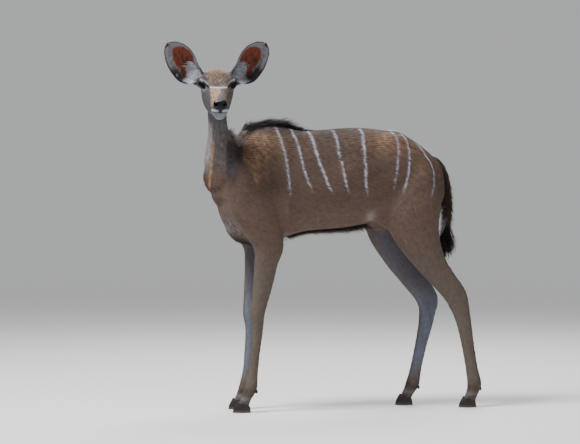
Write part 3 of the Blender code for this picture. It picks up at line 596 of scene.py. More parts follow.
@dataclass(frozen=True)
class HornFinish:
    """The horn of the hooves: near black, with fine growth rings, dusty and chipped near the floor."""

    def make(self) -> Material:
        """Builds the material.

        Returns:
            The material.
        """
        paint = Paint("kudu_horn", 0.46, specular_ior_level=0.30)
        place = paint.place()
        rings = paint.noise(paint.stretched(place, (0.12, 0.12, 1.0)), 420.0, 3.0)
        wear = paint.noise(place, 90.0, 4.0)
        height = paint.node("SeparateXYZ", None, 2, Vector=place)
        dust = paint.step(height + wear * 0.012, 0.022, 0.004) * 0.75
        horn = paint.blend(rings, (0.006, 0.005, 0.005), (0.022, 0.018, 0.016))
        paint.feed("Base Color", paint.blend(dust * wear, horn, (0.200, 0.150, 0.100)))
        paint.feed("Roughness", 0.36 + dust * 0.30 + rings * 0.14)
        paint.raise_by(rings, 0.0005, 0.6)
        return paint.material


@dataclass(frozen=True)
class FloorFinish:
    """The plain pale floor of the studio."""

    def make(self) -> Material:
        """Builds the material.

        Returns:
            The material.
        """
        paint = Paint("studio_floor", 0.85)
        place = paint.place()
        grain = paint.noise(place, 3.0, 3.0)
        paint.feed("Base Color", paint.blend(grain, (0.70, 0.69, 0.68), (0.74, 0.73, 0.72)))
        far = paint.vector("LENGTH", place, output="Value")
        paint.feed("Alpha", 1.0 - paint.step(far, 2.5, 12.0))
        return paint.material


# ---- Swept forms ----


def section(upper: Array, lower: Array, half_width: float, squareness: float = 2.0, sag: float = 0.0) -> Array:
    """One cross-section of a swept form, as a row of nine numbers.

    Args:
        upper: Its upper point.
        lower: Its lower point.
        half_width: Half its width.
        squareness: 2 for an oval, and more for a squarer one.
        sag: How much wider it is below than above.

    Returns:
        The row.
    """
    return np.concatenate([upper, lower, [half_width, squareness, sag]])


def refined(rows: Array, steps: int) -> Array:
    """The rows with smooth ones set between them.

    Args:
        rows: Rows of numbers that a smooth curve goes through.
        steps: How many rows each one becomes.

    Returns:
        The rows, with the last one at the end.
    """
    last = len(rows) - 1
    share = (np.arange(steps) / steps)[:, None]
    squared, cubed = share ** 2, share ** 3
    found = []
    for i in range(last):
        before, start, end, after = rows[max(i - 1, 0)], rows[i], rows[i + 1], rows[min(i + 2, last)]
        found.append(
            start * (2 * cubed - 3 * squared + 1)
            + (end - before) * 0.5 * (cubed - 2 * squared + share)
            + end * (3 * squared - 2 * cubed)
            + (after - start) * 0.5 * (cubed - squared)
        )
    return np.vstack([*found, rows[last:]])


def rounded(wave: Array, squareness: Array) -> Array:
    """A sine or cosine pushed out towards a box's as squareness grows past 2."""
    return np.sign(wave) * np.abs(wave) ** (2.0 / squareness)


def sweep(name: str, rows: Array, steps: int = 7, sides: int = 48, dome: float = 0.5) -> Object:
    """A closed form through the sections, with a dome at each end.

    Args:
        name: The object's name.
        rows: Its sections.
        steps: How many rings it has for each section.
        sides: How many points a ring has.
        dome: The height of each dome as a share of the half width there.

    Returns:
        The object.
    """
    rings = refined(rows, steps)
    upper, lower, half_width = rings[:, :3], rings[:, 3:6], rings[:, 6:7]
    middles = (upper + lower) / 2
    along = course(middles)
    rise = (upper - lower) / 2
    across = unit(np.cross(along, rise))
    angles = 2 * np.pi * np.arange(sides)[None, :] / sides
    out = rounded(np.cos(angles), rings[:, 7:8])
    up = rounded(np.sin(angles), rings[:, 7:8])
    width = half_width * (1 - rings[:, 8:9] * up)
    around = across[:, None] * (width * out)[..., None] + rise[:, None] * up[..., None]

    def capped(index: int, lift: float) -> Array:
        """One loop of a dome, this far up it."""
        shrink = math.sqrt(1 - lift * lift)
        shift = along[index] * lift * dome * half_width[index]
        return middles[index] + around[index] * shrink + (shift if index else -shift)

    last = len(rings) - 1
    loops = [capped(0, lift) for lift in (0.96, 0.72, 0.38)]
    loops.extend(middles[:, None] + around)
    loops.extend(capped(last, lift) for lift in (0.38, 0.72, 0.96))
    return Bench.from_loops(name, loops)


def heading(turn: float) -> Array:
    """The level direction that is turned this far to her left from straight ahead."""
    return np.array([-math.cos(turn), -math.sin(turn), 0.0])


@dataclass(frozen=True)
class HeadFrame:
    """Where the head is and how it looks out, measured from between the eyes."""

    eyes_middle: Row = (-0.563, -0.2525, 1.410)
    turn: float = math.radians(79.9)
    nod: float = math.radians(12.0)

    @property
    def ahead(self) -> Array:
        """The direction from the poll to the nose."""
        return heading(self.turn) * math.cos(self.nod) - np.array([0, 0, math.sin(self.nod)])

    @property
    def left(self) -> Array:
        """The direction to her left eye."""
        return heading(self.turn + math.pi / 2)

    @property
    def up(self) -> Array:
        """The direction from the jaw to the crown."""
        return np.cross(self.ahead, self.left)

    def axes(self) -> Array:
        """The three directions, one to a row."""
        return np.array([self.ahead, self.left, self.up])

    def point(self, ahead: float, left: float, up: float) -> Array:
        """The point at these distances ahead, to the left and up."""
        return np.array(self.eyes_middle) + np.array([ahead, left, up]) @ self.axes()

    def local(self, points: Array) -> Array:
        """How far points are ahead, to the left and up."""
        return (points - np.array(self.eyes_middle)) @ self.axes().T


class Side(Enum):
    """Her left and right. The value is the sign of Y there."""

    LEFT = -1
    RIGHT = 1

    @property
    def word(self) -> str:
        """The side's name in lower case."""
        return self.name.lower()


class LegKind(Enum):
    """Fore or hind."""

    FORE = "foreleg"
    HIND = "hindleg"


@dataclass(frozen=True)
class Form:
    """A rounded form that stands out of the swept ones, on the body or in the head's own frame."""

    name: str
    centre: Row
    radii: Row
    paired: bool = False
    on_head: bool = False


@dataclass
class Leg:
    """One leg: its middle line, its sizes down it, and where its hoof begins."""

    kind: LegKind
    side: Side
    rows: list[Row]
    sides: Row
    coronet: float = 0.038
    slope: float = math.radians(24.0)

    @property
    def name(self) -> str:
        """The leg's name, as its nodes have it."""
        return f"{self.kind.value}_{self.side.word}"

    @property
    def foot_side(self) -> float:
        """How far to the side the foot stands."""
        return self.side.value * self.sides[-1]

    def middles(self) -> Array:
        """The points down its middle."""
        last = len(self.sides) - 1
        across = [self.side.value * self.sides[min(i, last)] for i in range(len(self.rows))]
        return np.array([(row[0], y, row[1]) for row, y in zip(self.rows, across)])

    def directions(self) -> Array:
        """The way down at each of those points."""
        return course(self.middles())

    def sections(self) -> Array:
        """Its sections from the trunk to the foot.

        Returns:
            One row for each section.
        """
        found = []
        for middle, along, (_, _, fore, aft, side) in zip(self.middles(), self.directions(), self.rows):
            forward = unit(np.cross(along, [0, 1, 0]))
            forward = -forward if forward[0] > 0 else forward
            found.append(section(middle + forward * fore, middle - forward * aft, side, 2.1))
        return np.array(found)

    def middle_at(self, height: float) -> Array:
        """The point of its middle at a height over the floor."""
        xs = [row[0] for row in self.rows][::-1]
        zs = [row[1] for row in self.rows][::-1]
        return np.array([np.interp(height, zs, xs), self.foot_side, height])


@dataclass
class Body:
    """All the measured sizes of the flesh."""

    head: HeadFrame = field(default_factory=HeadFrame)
    trunk_sag: float = 0.16
    head_sag: float = -0.06
    trunk: Line = (
        (-0.500, 1.015, 0.885, 0.056), (-0.478, 1.060, 0.820, 0.086), (-0.440, 1.102, 0.764, 0.106),
        (-0.395, 1.166, 0.735, 0.116), (-0.350, 1.212, 0.715, 0.122), (-0.300, 1.237, 0.712, 0.130),
        (-0.220, 1.234, 0.742, 0.145), (-0.130, 1.217, 0.770, 0.163), (-0.040, 1.218, 0.779, 0.173),
        (0.050, 1.225, 0.786, 0.177), (0.140, 1.227, 0.800, 0.170), (0.220, 1.219, 0.822, 0.158),
        (0.300, 1.212, 0.815, 0.148), (0.370, 1.176, 0.820, 0.134), (0.430, 1.134, 0.850, 0.112),
        (0.475, 1.095, 0.890, 0.080),
    )
    neck: tuple[tuple[Row, float, float, float], ...] = (
        ((-0.360, 0.000, 0.995), 0.150, 0.092, 0.0), ((-0.448, -0.004, 1.062), 0.124, 0.084, 4.0),
        ((-0.490, -0.020, 1.130), 0.080, 0.062, 22.0), ((-0.513, -0.056, 1.210), 0.057, 0.043, 48.0),
        ((-0.528, -0.102, 1.295), 0.056, 0.041, 66.0), ((-0.538, -0.152, 1.372), 0.064, 0.046, 75.0),
        ((-0.544, -0.182, 1.415), 0.050, 0.044, 75.0),
    )
    skull: Line = (
        (-0.118, 0.014, -0.062, 0.036, 2.0), (-0.092, 0.040, -0.092, 0.054, 2.1),
        (-0.050, 0.056, -0.120, 0.0660, 2.3), (-0.015, 0.050, -0.128, 0.0715, 2.4),
        (0.018, 0.034, -0.128, 0.0690, 2.4), (0.058, 0.016, -0.122, 0.0590, 2.4),
        (0.098, 0.003, -0.116, 0.0480, 2.4), (0.135, -0.008, -0.114, 0.0400, 2.4),
        (0.163, -0.015, -0.113, 0.0370, 2.4), (0.182, -0.021, -0.106, 0.0350, 2.4),
        (0.194, -0.028, -0.090, 0.0290, 2.3),
    )
    foreleg: Line = (
        (-0.330, 1.120, 0.075, 0.080, 0.034), (-0.372, 1.010, 0.098, 0.110, 0.050),
        (-0.372, 0.890, 0.100, 0.112, 0.054), (-0.322, 0.785, 0.082, 0.090, 0.050),
        (-0.300, 0.705, 0.066, 0.070, 0.045), (-0.311, 0.640, 0.053, 0.055, 0.039),
        (-0.322, 0.560, 0.046, 0.047, 0.034), (-0.337, 0.480, 0.037, 0.039, 0.030),
        (-0.345, 0.422, 0.034, 0.031, 0.031), (-0.346, 0.380, 0.028, 0.028, 0.027),
        (-0.348, 0.335, 0.023, 0.025, 0.022), (-0.356, 0.260, 0.0215, 0.0225, 0.0195),
        (-0.366, 0.175, 0.0215, 0.0235, 0.0195), (-0.377, 0.108, 0.0270, 0.0300, 0.0265),
        (-0.397, 0.062, 0.0225, 0.0240, 0.0255), (-0.412, 0.022, 0.0260, 0.0250, 0.0290),
    )
    foreleg_sides: Row = (0.068, 0.090, 0.096, 0.095, 0.092, 0.090, 0.088, 0.086, 0.085)
    right_foreleg_set: float = 0.024
    hindleg: Line = (
        (0.110, 0.105, 0.060), (0.150, 0.132, 0.084), (0.112, 0.098, 0.072), (0.074, 0.072, 0.053),
        (0.056, 0.058, 0.040), (0.048, 0.053, 0.034), (0.034, 0.038, 0.0275), (0.0275, 0.0295, 0.0225),
        (0.0260, 0.0285, 0.0220), (0.0290, 0.0335, 0.0285), (0.0240, 0.0260, 0.0270), (0.0270, 0.0260, 0.0300),
    )
    hindleg_sides: Row = (0.062, 0.084, 0.094, 0.098, 0.096, 0.092, 0.090, 0.090, 0.090)
    left_hindleg: Line = (
        (0.330, 1.060), (0.348, 0.910), (0.374, 0.765), (0.422, 0.655), (0.478, 0.574), (0.546, 0.485),
        (0.578, 0.395), (0.600, 0.290), (0.620, 0.175), (0.632, 0.100), (0.620, 0.056), (0.606, 0.020),
    )
    right_hindleg: Line = (
        (0.325, 1.060), (0.322, 0.910), (0.308, 0.770), (0.346, 0.660), (0.402, 0.568), (0.470, 0.468),
        (0.468, 0.380), (0.446, 0.275), (0.421, 0.165), (0.404, 0.096), (0.384, 0.054), (0.368, 0.020),
    )
    dock: tuple[tuple[Row, float, float], ...] = (
        ((0.438, 0.0, 1.094), 0.020, 0.024), ((0.490, 0.0, 1.070), 0.018, 0.021),
        ((0.527, 0.0, 1.015), 0.011, 0.016), ((0.540, 0.0, 0.940), 0.009, 0.013),
        ((0.541, 0.0, 0.870), 0.008, 0.011), ((0.534, 0.0, 0.800), 0.007, 0.009),
        ((0.524, 0.0, 0.745), 0.005, 0.006),
    )
    forms: tuple[Form, ...] = (
        Form("withers", (-0.280, 0, 1.180), (0.140, 0.034, 0.070)),
        Form("brisket", (-0.385, 0, 0.830), (0.090, 0.092, 0.105)),
        Form("breast", (-0.498, -0.004, 1.007), (0.073, 0.070, 0.071)),
        Form("udder", (0.235, 0, 0.812), (0.085, 0.060, 0.040)),
        Form("nose_pad", (0.180, 0, -0.050), (0.018, 0.026, 0.024), on_head=True),
        Form("lip", (0.176, 0, -0.072), (0.020, 0.031, 0.014), on_head=True),
        Form("chin", (0.158, 0, -0.100), (0.028, 0.024, 0.017), on_head=True),
        Form("hip", (0.262, 0.066, 1.125), (0.095, 0.046, 0.075), paired=True),
        Form("orbit", (-0.010, 0.060, 0.004), (0.031, 0.026, 0.025), paired=True, on_head=True),
        Form("cheek", (-0.015, 0.038, -0.055), (0.052, 0.027, 0.044), paired=True, on_head=True),
        Form("ear_root", (-0.062, 0.054, 0.008), (0.032, 0.032, 0.034), paired=True, on_head=True),
    )

    def legs(self) -> list[Leg]:
        """The four legs in their own stances.

        Returns:
            The fore and hind leg of each side.
        """
        found = []
        top = self.foreleg[4][1]
        for side in Side:
            set_back = self.right_foreleg_set if side is Side.RIGHT else 0.0
            shares = [min(1.0, max(0.0, (top - row[1]) / top)) for row in self.foreleg]
            rows = [(x + set_back * share, z, *sizes) for share, (x, z, *sizes) in zip(shares, self.foreleg)]
            found.append(Leg(LegKind.FORE, side, rows, self.foreleg_sides))
            middles = self.left_hindleg if side is Side.LEFT else self.right_hindleg
            rows = [(*middle, *sizes) for middle, sizes in zip(middles, self.hindleg)]
            found.append(Leg(LegKind.HIND, side, rows, self.hindleg_sides))
        return found

    def trunk_sections(self) -> Array:
        """The trunk from the breast to the buttocks."""
        rows = [
            section(np.array([x, 0, top]), np.array([x, 0, bottom]), width, 2.15, self.trunk_sag)
            for x, top, bottom, width in self.trunk
        ]
        return np.array(rows)

    def neck_middles(self) -> tuple[Array, Array, Array]:
        """The neck's middle points, the way up it, and the way its throat faces."""
        middles = np.array([row[0] for row in self.neck])
        along = course(middles)
        ahead = np.array([heading(math.radians(row[3])) for row in self.neck])
        throat = unit(ahead - along * np.sum(ahead * along, axis=1, keepdims=True))
        return middles, along, throat

    def neck_sections(self) -> Array:
        """The neck from inside the trunk to inside the head."""
        middles, _, throat = self.neck_middles()
        rows = zip(middles, throat, self.neck)
        return np.array([section(m - t * depth, m + t * depth, width) for m, t, (_, depth, width, _) in rows])

    def head_sections(self) -> Array:
        """The head from the poll to the nose.

        Returns:
            One row for each section.
        """
        at = self.head.point
        rows = [
            section(at(reach, 0, top), at(reach, 0, low), width, square, self.head_sag)
            for reach, top, low, width, square in self.skull
        ]
        return np.array(rows)

    def dock_sections(self) -> Array:
        """The tail under its hair."""
        middles = np.array([row[0] for row in self.dock])
        back = unit(np.cross([0, 1, 0], course(middles)))
        rows = zip(middles, back, self.dock)
        return np.array([section(m - b * depth, m + b * depth, width) for m, b, (_, depth, width) in rows])

    def flank_fold(self, leg: Leg) -> Array:
        """The fold of skin from the belly to the front of a thigh.

        Args:
            leg: The hind leg that it meets.

        Returns:
            Its sections.
        """
        thigh = leg.rows[2][0]
        rows = (
            ((0.120, 0.930), 0.050, 0.100),
            ((0.185, 0.865), 0.050, 0.096),
            ((thigh - 0.085, 0.800), 0.045, 0.094),
            ((thigh - 0.050, 0.735), 0.035, 0.094),
        )
        lean = np.array([-0.6, 0, -0.8])
        found = []
        for (x, z), half, lateral in rows:
            middle = np.array([x, leg.side.value * lateral, z])
            found.append(section(middle - lean * half, middle + lean * half, 0.034))
        return np.array(found)

    def form_balls(self) -> list[Object]:
        """The rounded forms as balls, mirrored where they are paired.

        Returns:
            The balls.
        """
        found = []
        for form in self.forms:
            for sign in (1, -1) if form.paired else (1,):
                place = mirrored(form.centre, sign)
                centre = self.head.point(*place) if form.on_head else place
                axes = self.head.axes() if form.on_head else np.eye(3)
                found.append(Bench.ball(form.name, centre, axes, form.radii, 28))
        return found


@dataclass
class Ear:
    """A large thin cup on a solid root."""

    head: HeadFrame
    sign: int
    base: Row = (-0.070, 0.068, 0.008)
    tip: Row = (-0.092, 0.201, 0.163)
    turn_out: float = math.radians(14.0)
    thickness: float = 0.0040
    floor: Row = (0.02, 0.24)
    fan: tuple[Row, Row] = ((0.22, -0.22), (0.19, 0.56))
    count: int = 22
    rows: Line = (
        (-0.16, 0.020, 0.036, 0.000), (0.00, 0.026, 0.042, 0.002), (0.10, 0.042, 0.050, 0.009),
        (0.19, 0.052, 0.050, 0.014), (0.30, 0.0590, 0.045, 0.016), (0.45, 0.0640, 0.037, 0.012),
        (0.60, 0.0640, 0.029, 0.009), (0.75, 0.0565, 0.020, 0.007), (0.88, 0.0410, 0.011, 0.008),
        (0.96, 0.0230, 0.006, 0.010), (1.00, 0.0050, 0.002, 0.012),
    )

    def __post_init__(self) -> None:
        """Works out the ear's own directions."""
        self.root = self.head.point(*mirrored(self.base, self.sign))
        reach = self.head.point(*mirrored(self.tip, self.sign)) - self.root
        self.length = float(np.linalg.norm(reach))
        self.axis = reach / self.length
        ahead = self.head.ahead * math.cos(self.turn_out) + self.head.left * self.sign * math.sin(self.turn_out)
        self.open_to = unit(ahead - self.axis * (ahead @ self.axis))
        outward = unit(np.cross(self.open_to, self.axis))
        self.outward = outward if (outward @ self.head.left) * self.sign > 0 else -outward

    def shell(self) -> Object:
        """The ear as one closed form.

        Returns:
            The closed form.
        """
        rings = []
        for share, half_width, depth, outward_set in refined(np.array(self.rows), 4):
            radius = (half_width ** 2 + depth ** 2) / (2 * depth)
            limit = math.atan2(half_width, radius - depth)
            low, high = self.floor
            filled = 1 - float(ease(low, high, share))
            middle = self.root + self.axis * self.length * share
            middle = middle + self.outward * outward_set - self.open_to * depth * 0.5
            part = 2 * np.arange(self.count) / (self.count - 1) - 1
            angle = limit * part
            thick = np.minimum(self.thickness * (1 - 0.55 * part ** 4), radius * 0.5)
            ridge = 0.0011 * np.sin(part * 9.0 + share * 5.0) * (1 - part ** 4) * float(ease(0.1, 0.3, share))
            deep = radius - thick - ridge
            outer = np.stack([radius * np.sin(angle), radius * (1 - np.cos(angle))], axis=1)
            hollow = np.stack([deep * np.sin(angle), radius - deep * np.cos(angle)], axis=1)
            front = np.stack([half_width * 0.92 * part, depth + 0.003 * (1 - part * part) - 0.001], axis=1)
            inner = hollow + (front - hollow) * filled
            flat = np.vstack([outer, inner[::-1]])
            rings.append(middle + flat[:, :1] * self.outward + flat[:, 1:] * self.open_to)
        return Bench.from_loops(f"ear_shell_{self.sign}", rings)

    def local(self, points: Array) -> tuple[Array, Array, Array]:
        """Where points are on the ear.

        Args:
            points: Places, in the body's own frame.

        Returns:
            The share of its length, the place across from -1 at the edge by the head to 1 at the far
            edge, and how far in front of the back of the cup, in metres.
        """
        away = points - self.root
        share = away @ self.axis / self.length
        table = np.array(self.rows)
        half = np.interp(share, table[:, 0], table[:, 1])
        depth = np.interp(share, table[:, 0], table[:, 2])
        shift = np.interp(share, table[:, 0], table[:, 3])
        across = (away @ self.outward - shift) / half
        return share, across, away @ self.open_to + depth * 0.5

    def belongs(self, points: Array) -> Array:
        """True where a point is on the ear's free part."""
        share, across, front = self.local(points)
        return (share > 0.03) & (share < 1.1) & (np.abs(across) < 1.25) & (front > -0.02) & (front < 0.075)


@dataclass
class EyeSocket:
    """An eye and the almond that its lids leave open."""

    head: HeadFrame
    sign: int
    radius: float = 0.0215
    side: float = 0.0560
    gaze_turn: float = math.radians(38.0)
    lid: float = 0.0042
    opening: Row = (0.0218, 0.0088)
    tilt: float = math.radians(13.0)

    def __post_init__(self) -> None:
        """Works out the eye's own directions. Its inner corner is lower than its outer one."""
        self.centre = self.head.point(0.0, self.sign * self.side, 0.0)
        turned = self.head.left * self.sign * math.sin(self.gaze_turn)
        self.gaze = self.head.ahead * math.cos(self.gaze_turn) + turned
        level = unit(np.cross(self.head.up, self.gaze))
        upright = np.cross(self.gaze, level)
        self.across = level * math.cos(self.tilt) + upright * self.sign * math.sin(self.tilt)
        self.up = np.cross(self.gaze, self.across)

    def ball(self, name: str, radius: float, detail: int = 40) -> Object:
        """A ball in the eye's place, with its poles out and in."""
        return Bench.ball(name, self.centre, (self.across, self.up, self.gaze), (radius,) * 3, detail)

    def almond(self, angles: Array, reach: float, scale: float) -> Array:
        """Points round the almond, this far out along the gaze."""
        half_long, half_high = self.opening
        wide = np.cos(angles)[:, None]
        high = (np.sign(np.sin(angles)) * np.abs(np.sin(angles)) ** 1.25)[:, None]
        flat = self.across * half_long * wide + self.up * half_high * high
        return self.centre + self.gaze * reach + flat * scale

    def wedge(self) -> Object:
        """The space between the lids, as a closed wedge that widens outwards."""
        sides = 40
        angles = 2 * np.pi * np.arange(sides) / sides
        levels = ((0.006, 0.60), (0.016, 0.98), (0.045, 1.45))
        loops = [self.almond(angles, reach, scale) for reach, scale in levels]
        return Bench.from_loops(f"opening_{self.sign}", loops)

    def local(self, points: Array) -> Pair:
        """How far points are from the almond, and how far out along the gaze.

        Args:
            points: Places, in the body's own frame.

        Returns:
            The place across the almond as a share of its size, 1 on its edge, and the distance out.
        """
        away = points - self.centre
        wide = (away @ self.across) / self.opening[0]
        high = (away @ self.up) / self.opening[1]
        return np.sqrt(wide ** 2 + np.abs(high) ** 1.6), away @ self.gaze


# ---- The skin ----


@dataclass(frozen=True)
class Relief:
    """A swelling or hollow of the skin, paired where its centre is off the middle."""

    centre: Row
    radii: Row
    height: float


@dataclass
class Skin:
    """The one skin over all the flesh, with ears, lids, nostrils and mouth worked into it."""

    body: Body
    voxel: float = 0.0074
    rounds: int = 15
    head_reach: float = 0.225
    muzzle_start: float = 0.125
    eye_reach: float = 0.046
    coat_depth: Row = (0.0026, 0.0010, 0.0016)
    mouth_middle: Row = (0.118, -0.081)
    mouth_cut: float = 0.0020
    mouth_depth: float = 0.0070
    mouth_sweep: float = math.radians(86.0)
    reliefs: tuple[Relief, ...] = (
        Relief((-0.300, 0.120, 1.060), (0.020, 0.080, 0.150), 0.005),
        Relief((-0.255, 0.120, 0.960), (0.020, 0.100, 0.130), -0.005),
        Relief((-0.245, 0.120, 0.830), (0.018, 0.100, 0.060), -0.006),
        Relief((-0.330, 0.140, 0.900), (0.050, 0.090, 0.060), 0.004),
        Relief((0.175, 0.130, 1.120), (0.060, 0.070, 0.070), -0.007),
        Relief((0.235, 0.110, 1.160), (0.035, 0.050, 0.030), 0.005),
        Relief((0.400, 0.080, 1.060), (0.035, 0.050, 0.045), -0.004),
        Relief((0.300, 0.150, 0.840), (0.050, 0.080, 0.060), 0.004),
        Relief((-0.555, 0.0, 1.078), (0.050, 0.070, 0.045), 0.0070),
        Relief((-0.565, 0.0, 0.990), (0.040, 0.060, 0.035), -0.0030),
        Relief((-0.530, 0.045, 1.005), (0.030, 0.040, 0.035), -0.0050),
        Relief((-0.500, 0.045, 0.930), (0.035, 0.045, 0.022), 0.0060),
        Relief((0.492, 0.030, 0.885), (0.034, 0.065, 0.090), 0.0120),
        Relief((-0.510, 0.050, 0.965), (0.030, 0.035, 0.030), 0.0060),
        Relief((-0.440, 0.080, 1.080), (0.022, 0.060, 0.070), -0.0100),
        Relief((-0.385, 0.110, 1.080), (0.022, 0.060, 0.070), 0.0070),
    )
    head_reliefs: tuple[Relief, ...] = (
        Relief((0.030, 0.046, -0.034), (0.030, 0.020, 0.012), -0.0022),
        Relief((0.040, 0.044, -0.058), (0.050, 0.020, 0.010), 0.0020),
        Relief((0.100, 0.036, -0.055), (0.040, 0.020, 0.018), -0.0022),
        Relief((0.020, 0.000, 0.034), (0.030, 0.016, 0.020), -0.0014),
        Relief((-0.050, 0.040, 0.030), (0.020, 0.014, 0.020), -0.0022),
        Relief((-0.030, 0.060, -0.030), (0.016, 0.020, 0.016), -0.0020),
        Relief((-0.040, 0.056, -0.075), (0.030, 0.020, 0.030), 0.0026),
        Relief((0.192, 0.000, -0.052), (0.020, 0.0022, 0.020), -0.0016),
        Relief((0.186, 0.0215, -0.0750), (0.014, 0.013, 0.0065), 0.0022),
        Relief((0.184, 0.0200, -0.0400), (0.014, 0.009, 0.009), 0.0026),
        Relief((0.190, 0.0290, -0.0620), (0.014, 0.006, 0.006), -0.0016),
        Relief((0.150, 0.026, -0.086), (0.024, 0.014, 0.006), 0.0012),
        Relief((0.150, 0.000, -0.112), (0.030, 0.030, 0.020), 0.0040),
        Relief((0.030, 0.066, -0.072), (0.060, 0.036, 0.036), -0.0085),
        Relief((0.120, 0.044, -0.080), (0.030, 0.020, 0.028), -0.0040),
    )

    def __post_init__(self) -> None:
        """Makes the eyes' and ears' own frames."""
        self.eyes = [EyeSocket(self.body.head, sign) for sign in (1, -1)]
        self.ears = [Ear(self.body.head, sign) for sign in (1, -1)]

    def fused(self) -> Object:
        """The swept and rounded forms as one skin with even faces.

        Returns:
            The skin before its finer parts.
        """
        body = self.body
        pieces = [sweep("trunk", body.trunk_sections()), sweep("neck", body.neck_sections())]
        pieces.append(sweep("head", body.head_sections(), dome=0.35))
        pieces.extend(body.form_balls())
        for leg in body.legs():
            pieces.append(sweep(leg.name, leg.sections()))
            if leg.kind is LegKind.HIND:
                pieces.append(sweep("flank_fold", body.flank_fold(leg)))
        skin = Bench.join(pieces, "skin")
        Bench.apply(skin, "REMESH", mode="VOXEL", voxel_size=self.voxel)
        points = Bench.points(skin)
        near_head = self.from_eyes(points) < 0.26
        high = np.clip((points[:, 2] - 0.30) / 0.45, 0, 1)
        Bench.soften(skin, np.where(near_head, 0.20, 0.18 + 0.82 * high), 0.8, self.rounds)
        return skin

    def from_eyes(self, points: Array) -> Array:
        """How far points are from between the eyes."""
        return gap(points, np.array(self.body.head.eyes_middle))

    def face_middles(self, skin: Object) -> Array:
        """The middle of each face."""
        return Bench.vectors(skin.data.polygons, "center")

    def refine_head(self, skin: Object) -> None:
        """Gives the head finer faces, and its eyes and muzzle the finest.

        Args:
            skin: The skin.
        """
        Bench.split_faces(skin, self.from_eyes(self.face_middles(skin)) < self.head_reach)
        middles = self.face_middles(skin)
        ahead = self.body.head.local(middles)[:, 0]
        chosen = (ahead > self.muzzle_start) & (self.from_eyes(middles) < 0.24)
        for eye in self.eyes:
            chosen |= gap(middles, eye.centre) < self.eye_reach
        Bench.split_faces(skin, chosen)
        near = ease(0.26, 0.20, self.from_eyes(Bench.points(skin)))
        Bench.soften(skin, near, 0.5, 4)

    def add_parts(self, skin: Object) -> None:
        """Fuses the lids, the ears and the tail with the skin, and rounds where they meet it.

        Args:
            skin: The skin.
        """
        lids = [eye.ball("lids", eye.radius + eye.lid) for eye in self.eyes]
        ears = [ear.shell() for ear in self.ears]
        dock = sweep("dock", self.body.dock_sections(), steps=6, sides=24)
        Bench.carve(skin, [*lids, *ears, dock], "UNION")
        points = Bench.points(skin)
        weights = np.zeros(len(points))
        for eye in self.eyes:
            distance = gap(points, eye.centre)
            weights = np.maximum(weights, ease(0.036, 0.027, distance) * ease(0.0235, 0.0250, distance))
        for ear in self.ears:
            distance = gap(points, ear.root)
            weights = np.maximum(weights, ease(0.052, 0.030, distance))
        Bench.soften(skin, weights, 0.6, 14)

    def shape(self, skin: Object) -> None:
        """Works in the swellings and hollows, and draws the skin in by the coat's depth.

        Args:
            skin: The skin.
        """
        points = Bench.points(skin)
        moves = self.swelling(points, self.reliefs)
        moves += self.swelling(self.body.head.local(points), self.head_reliefs)
        moves += self.lid_folds(points)
        on_ear = np.any([ear.belongs(points) for ear in self.ears], axis=0)
        deep, face, shin = self.coat_depth
        depth = deep + (shin - deep) * ease(0.75, 0.50, points[:, 2])
        depth += (face - depth) * ease(0.26, 0.19, self.from_eyes(points))
        depth = np.where(points[:, 0] > 0.515, 0.0, depth)
        moves -= np.where(on_ear, 0.0004, depth)
        Bench.set_points(skin, points + Bench.normals(skin) * moves[:, None])

    @staticmethod
    def swelling(points: Array, reliefs: Sequence[Relief]) -> Array:
        """How far the reliefs lift the skin at these places."""
        moves = np.zeros(len(points))
        for relief in reliefs:
            for sign in (1, -1) if relief.centre[1] else (1,):
                moves += relief.height * hill(points, mirrored(relief.centre, sign), relief.radii)
        return moves

    def lid_folds(self, points: Array) -> Array:
        """The crease over each upper lid, and the soft one under the lower.

        Args:
            points: Places, in the body's own frame.

        Returns:
            How far each place moves out.
        """
        moves = np.zeros(len(points))
        for eye in self.eyes:
            place, out = eye.local(points)
            upper = ease(-0.004, 0.004, (points - eye.centre) @ eye.up)
            ring = bell(place - 1.62, 0.13) * (out > 0.004)
            moves -= ring * (0.0006 + 0.0011 * upper)
        return moves

    def cut_openings(self, skin: Object) -> None:
        """Cuts the eyes, nostrils, mouth and the ends of the legs, and rounds the lids.

        Args:
            skin: The skin.
        """
        head = self.body.head
        cuts = [self.mouth(skin)]
        for eye in self.eyes:
            cuts.append(eye.ball("socket", eye.radius + 0.0004))
            cuts.append(eye.wedge())
        for sign in (1, -1):
            lean = unit(head.up + head.left * sign * 0.55)
            inward = unit(head.ahead - head.left * sign * 0.35)
            axes = (inward, np.cross(lean, inward), lean)
            centre = head.point(0.1935, sign * 0.0180, -0.046)
            cuts.append(Bench.ball("nostril", centre, axes, (0.011, 0.0060, 0.0078), 24))
        cuts.extend(self.foot_block(leg) for leg in self.body.legs())
        Bench.carve(skin, cuts, "DIFFERENCE")
        points = Bench.points(skin)
        near = np.zeros(len(points))
        for eye in self.eyes:
            place, out = eye.local(points)
            near = np.maximum(near, bell(place - 1.0, 0.16) * (out > 0.004))
        Bench.soften(skin, np.clip(near, 0, 1), 0.5, 2)

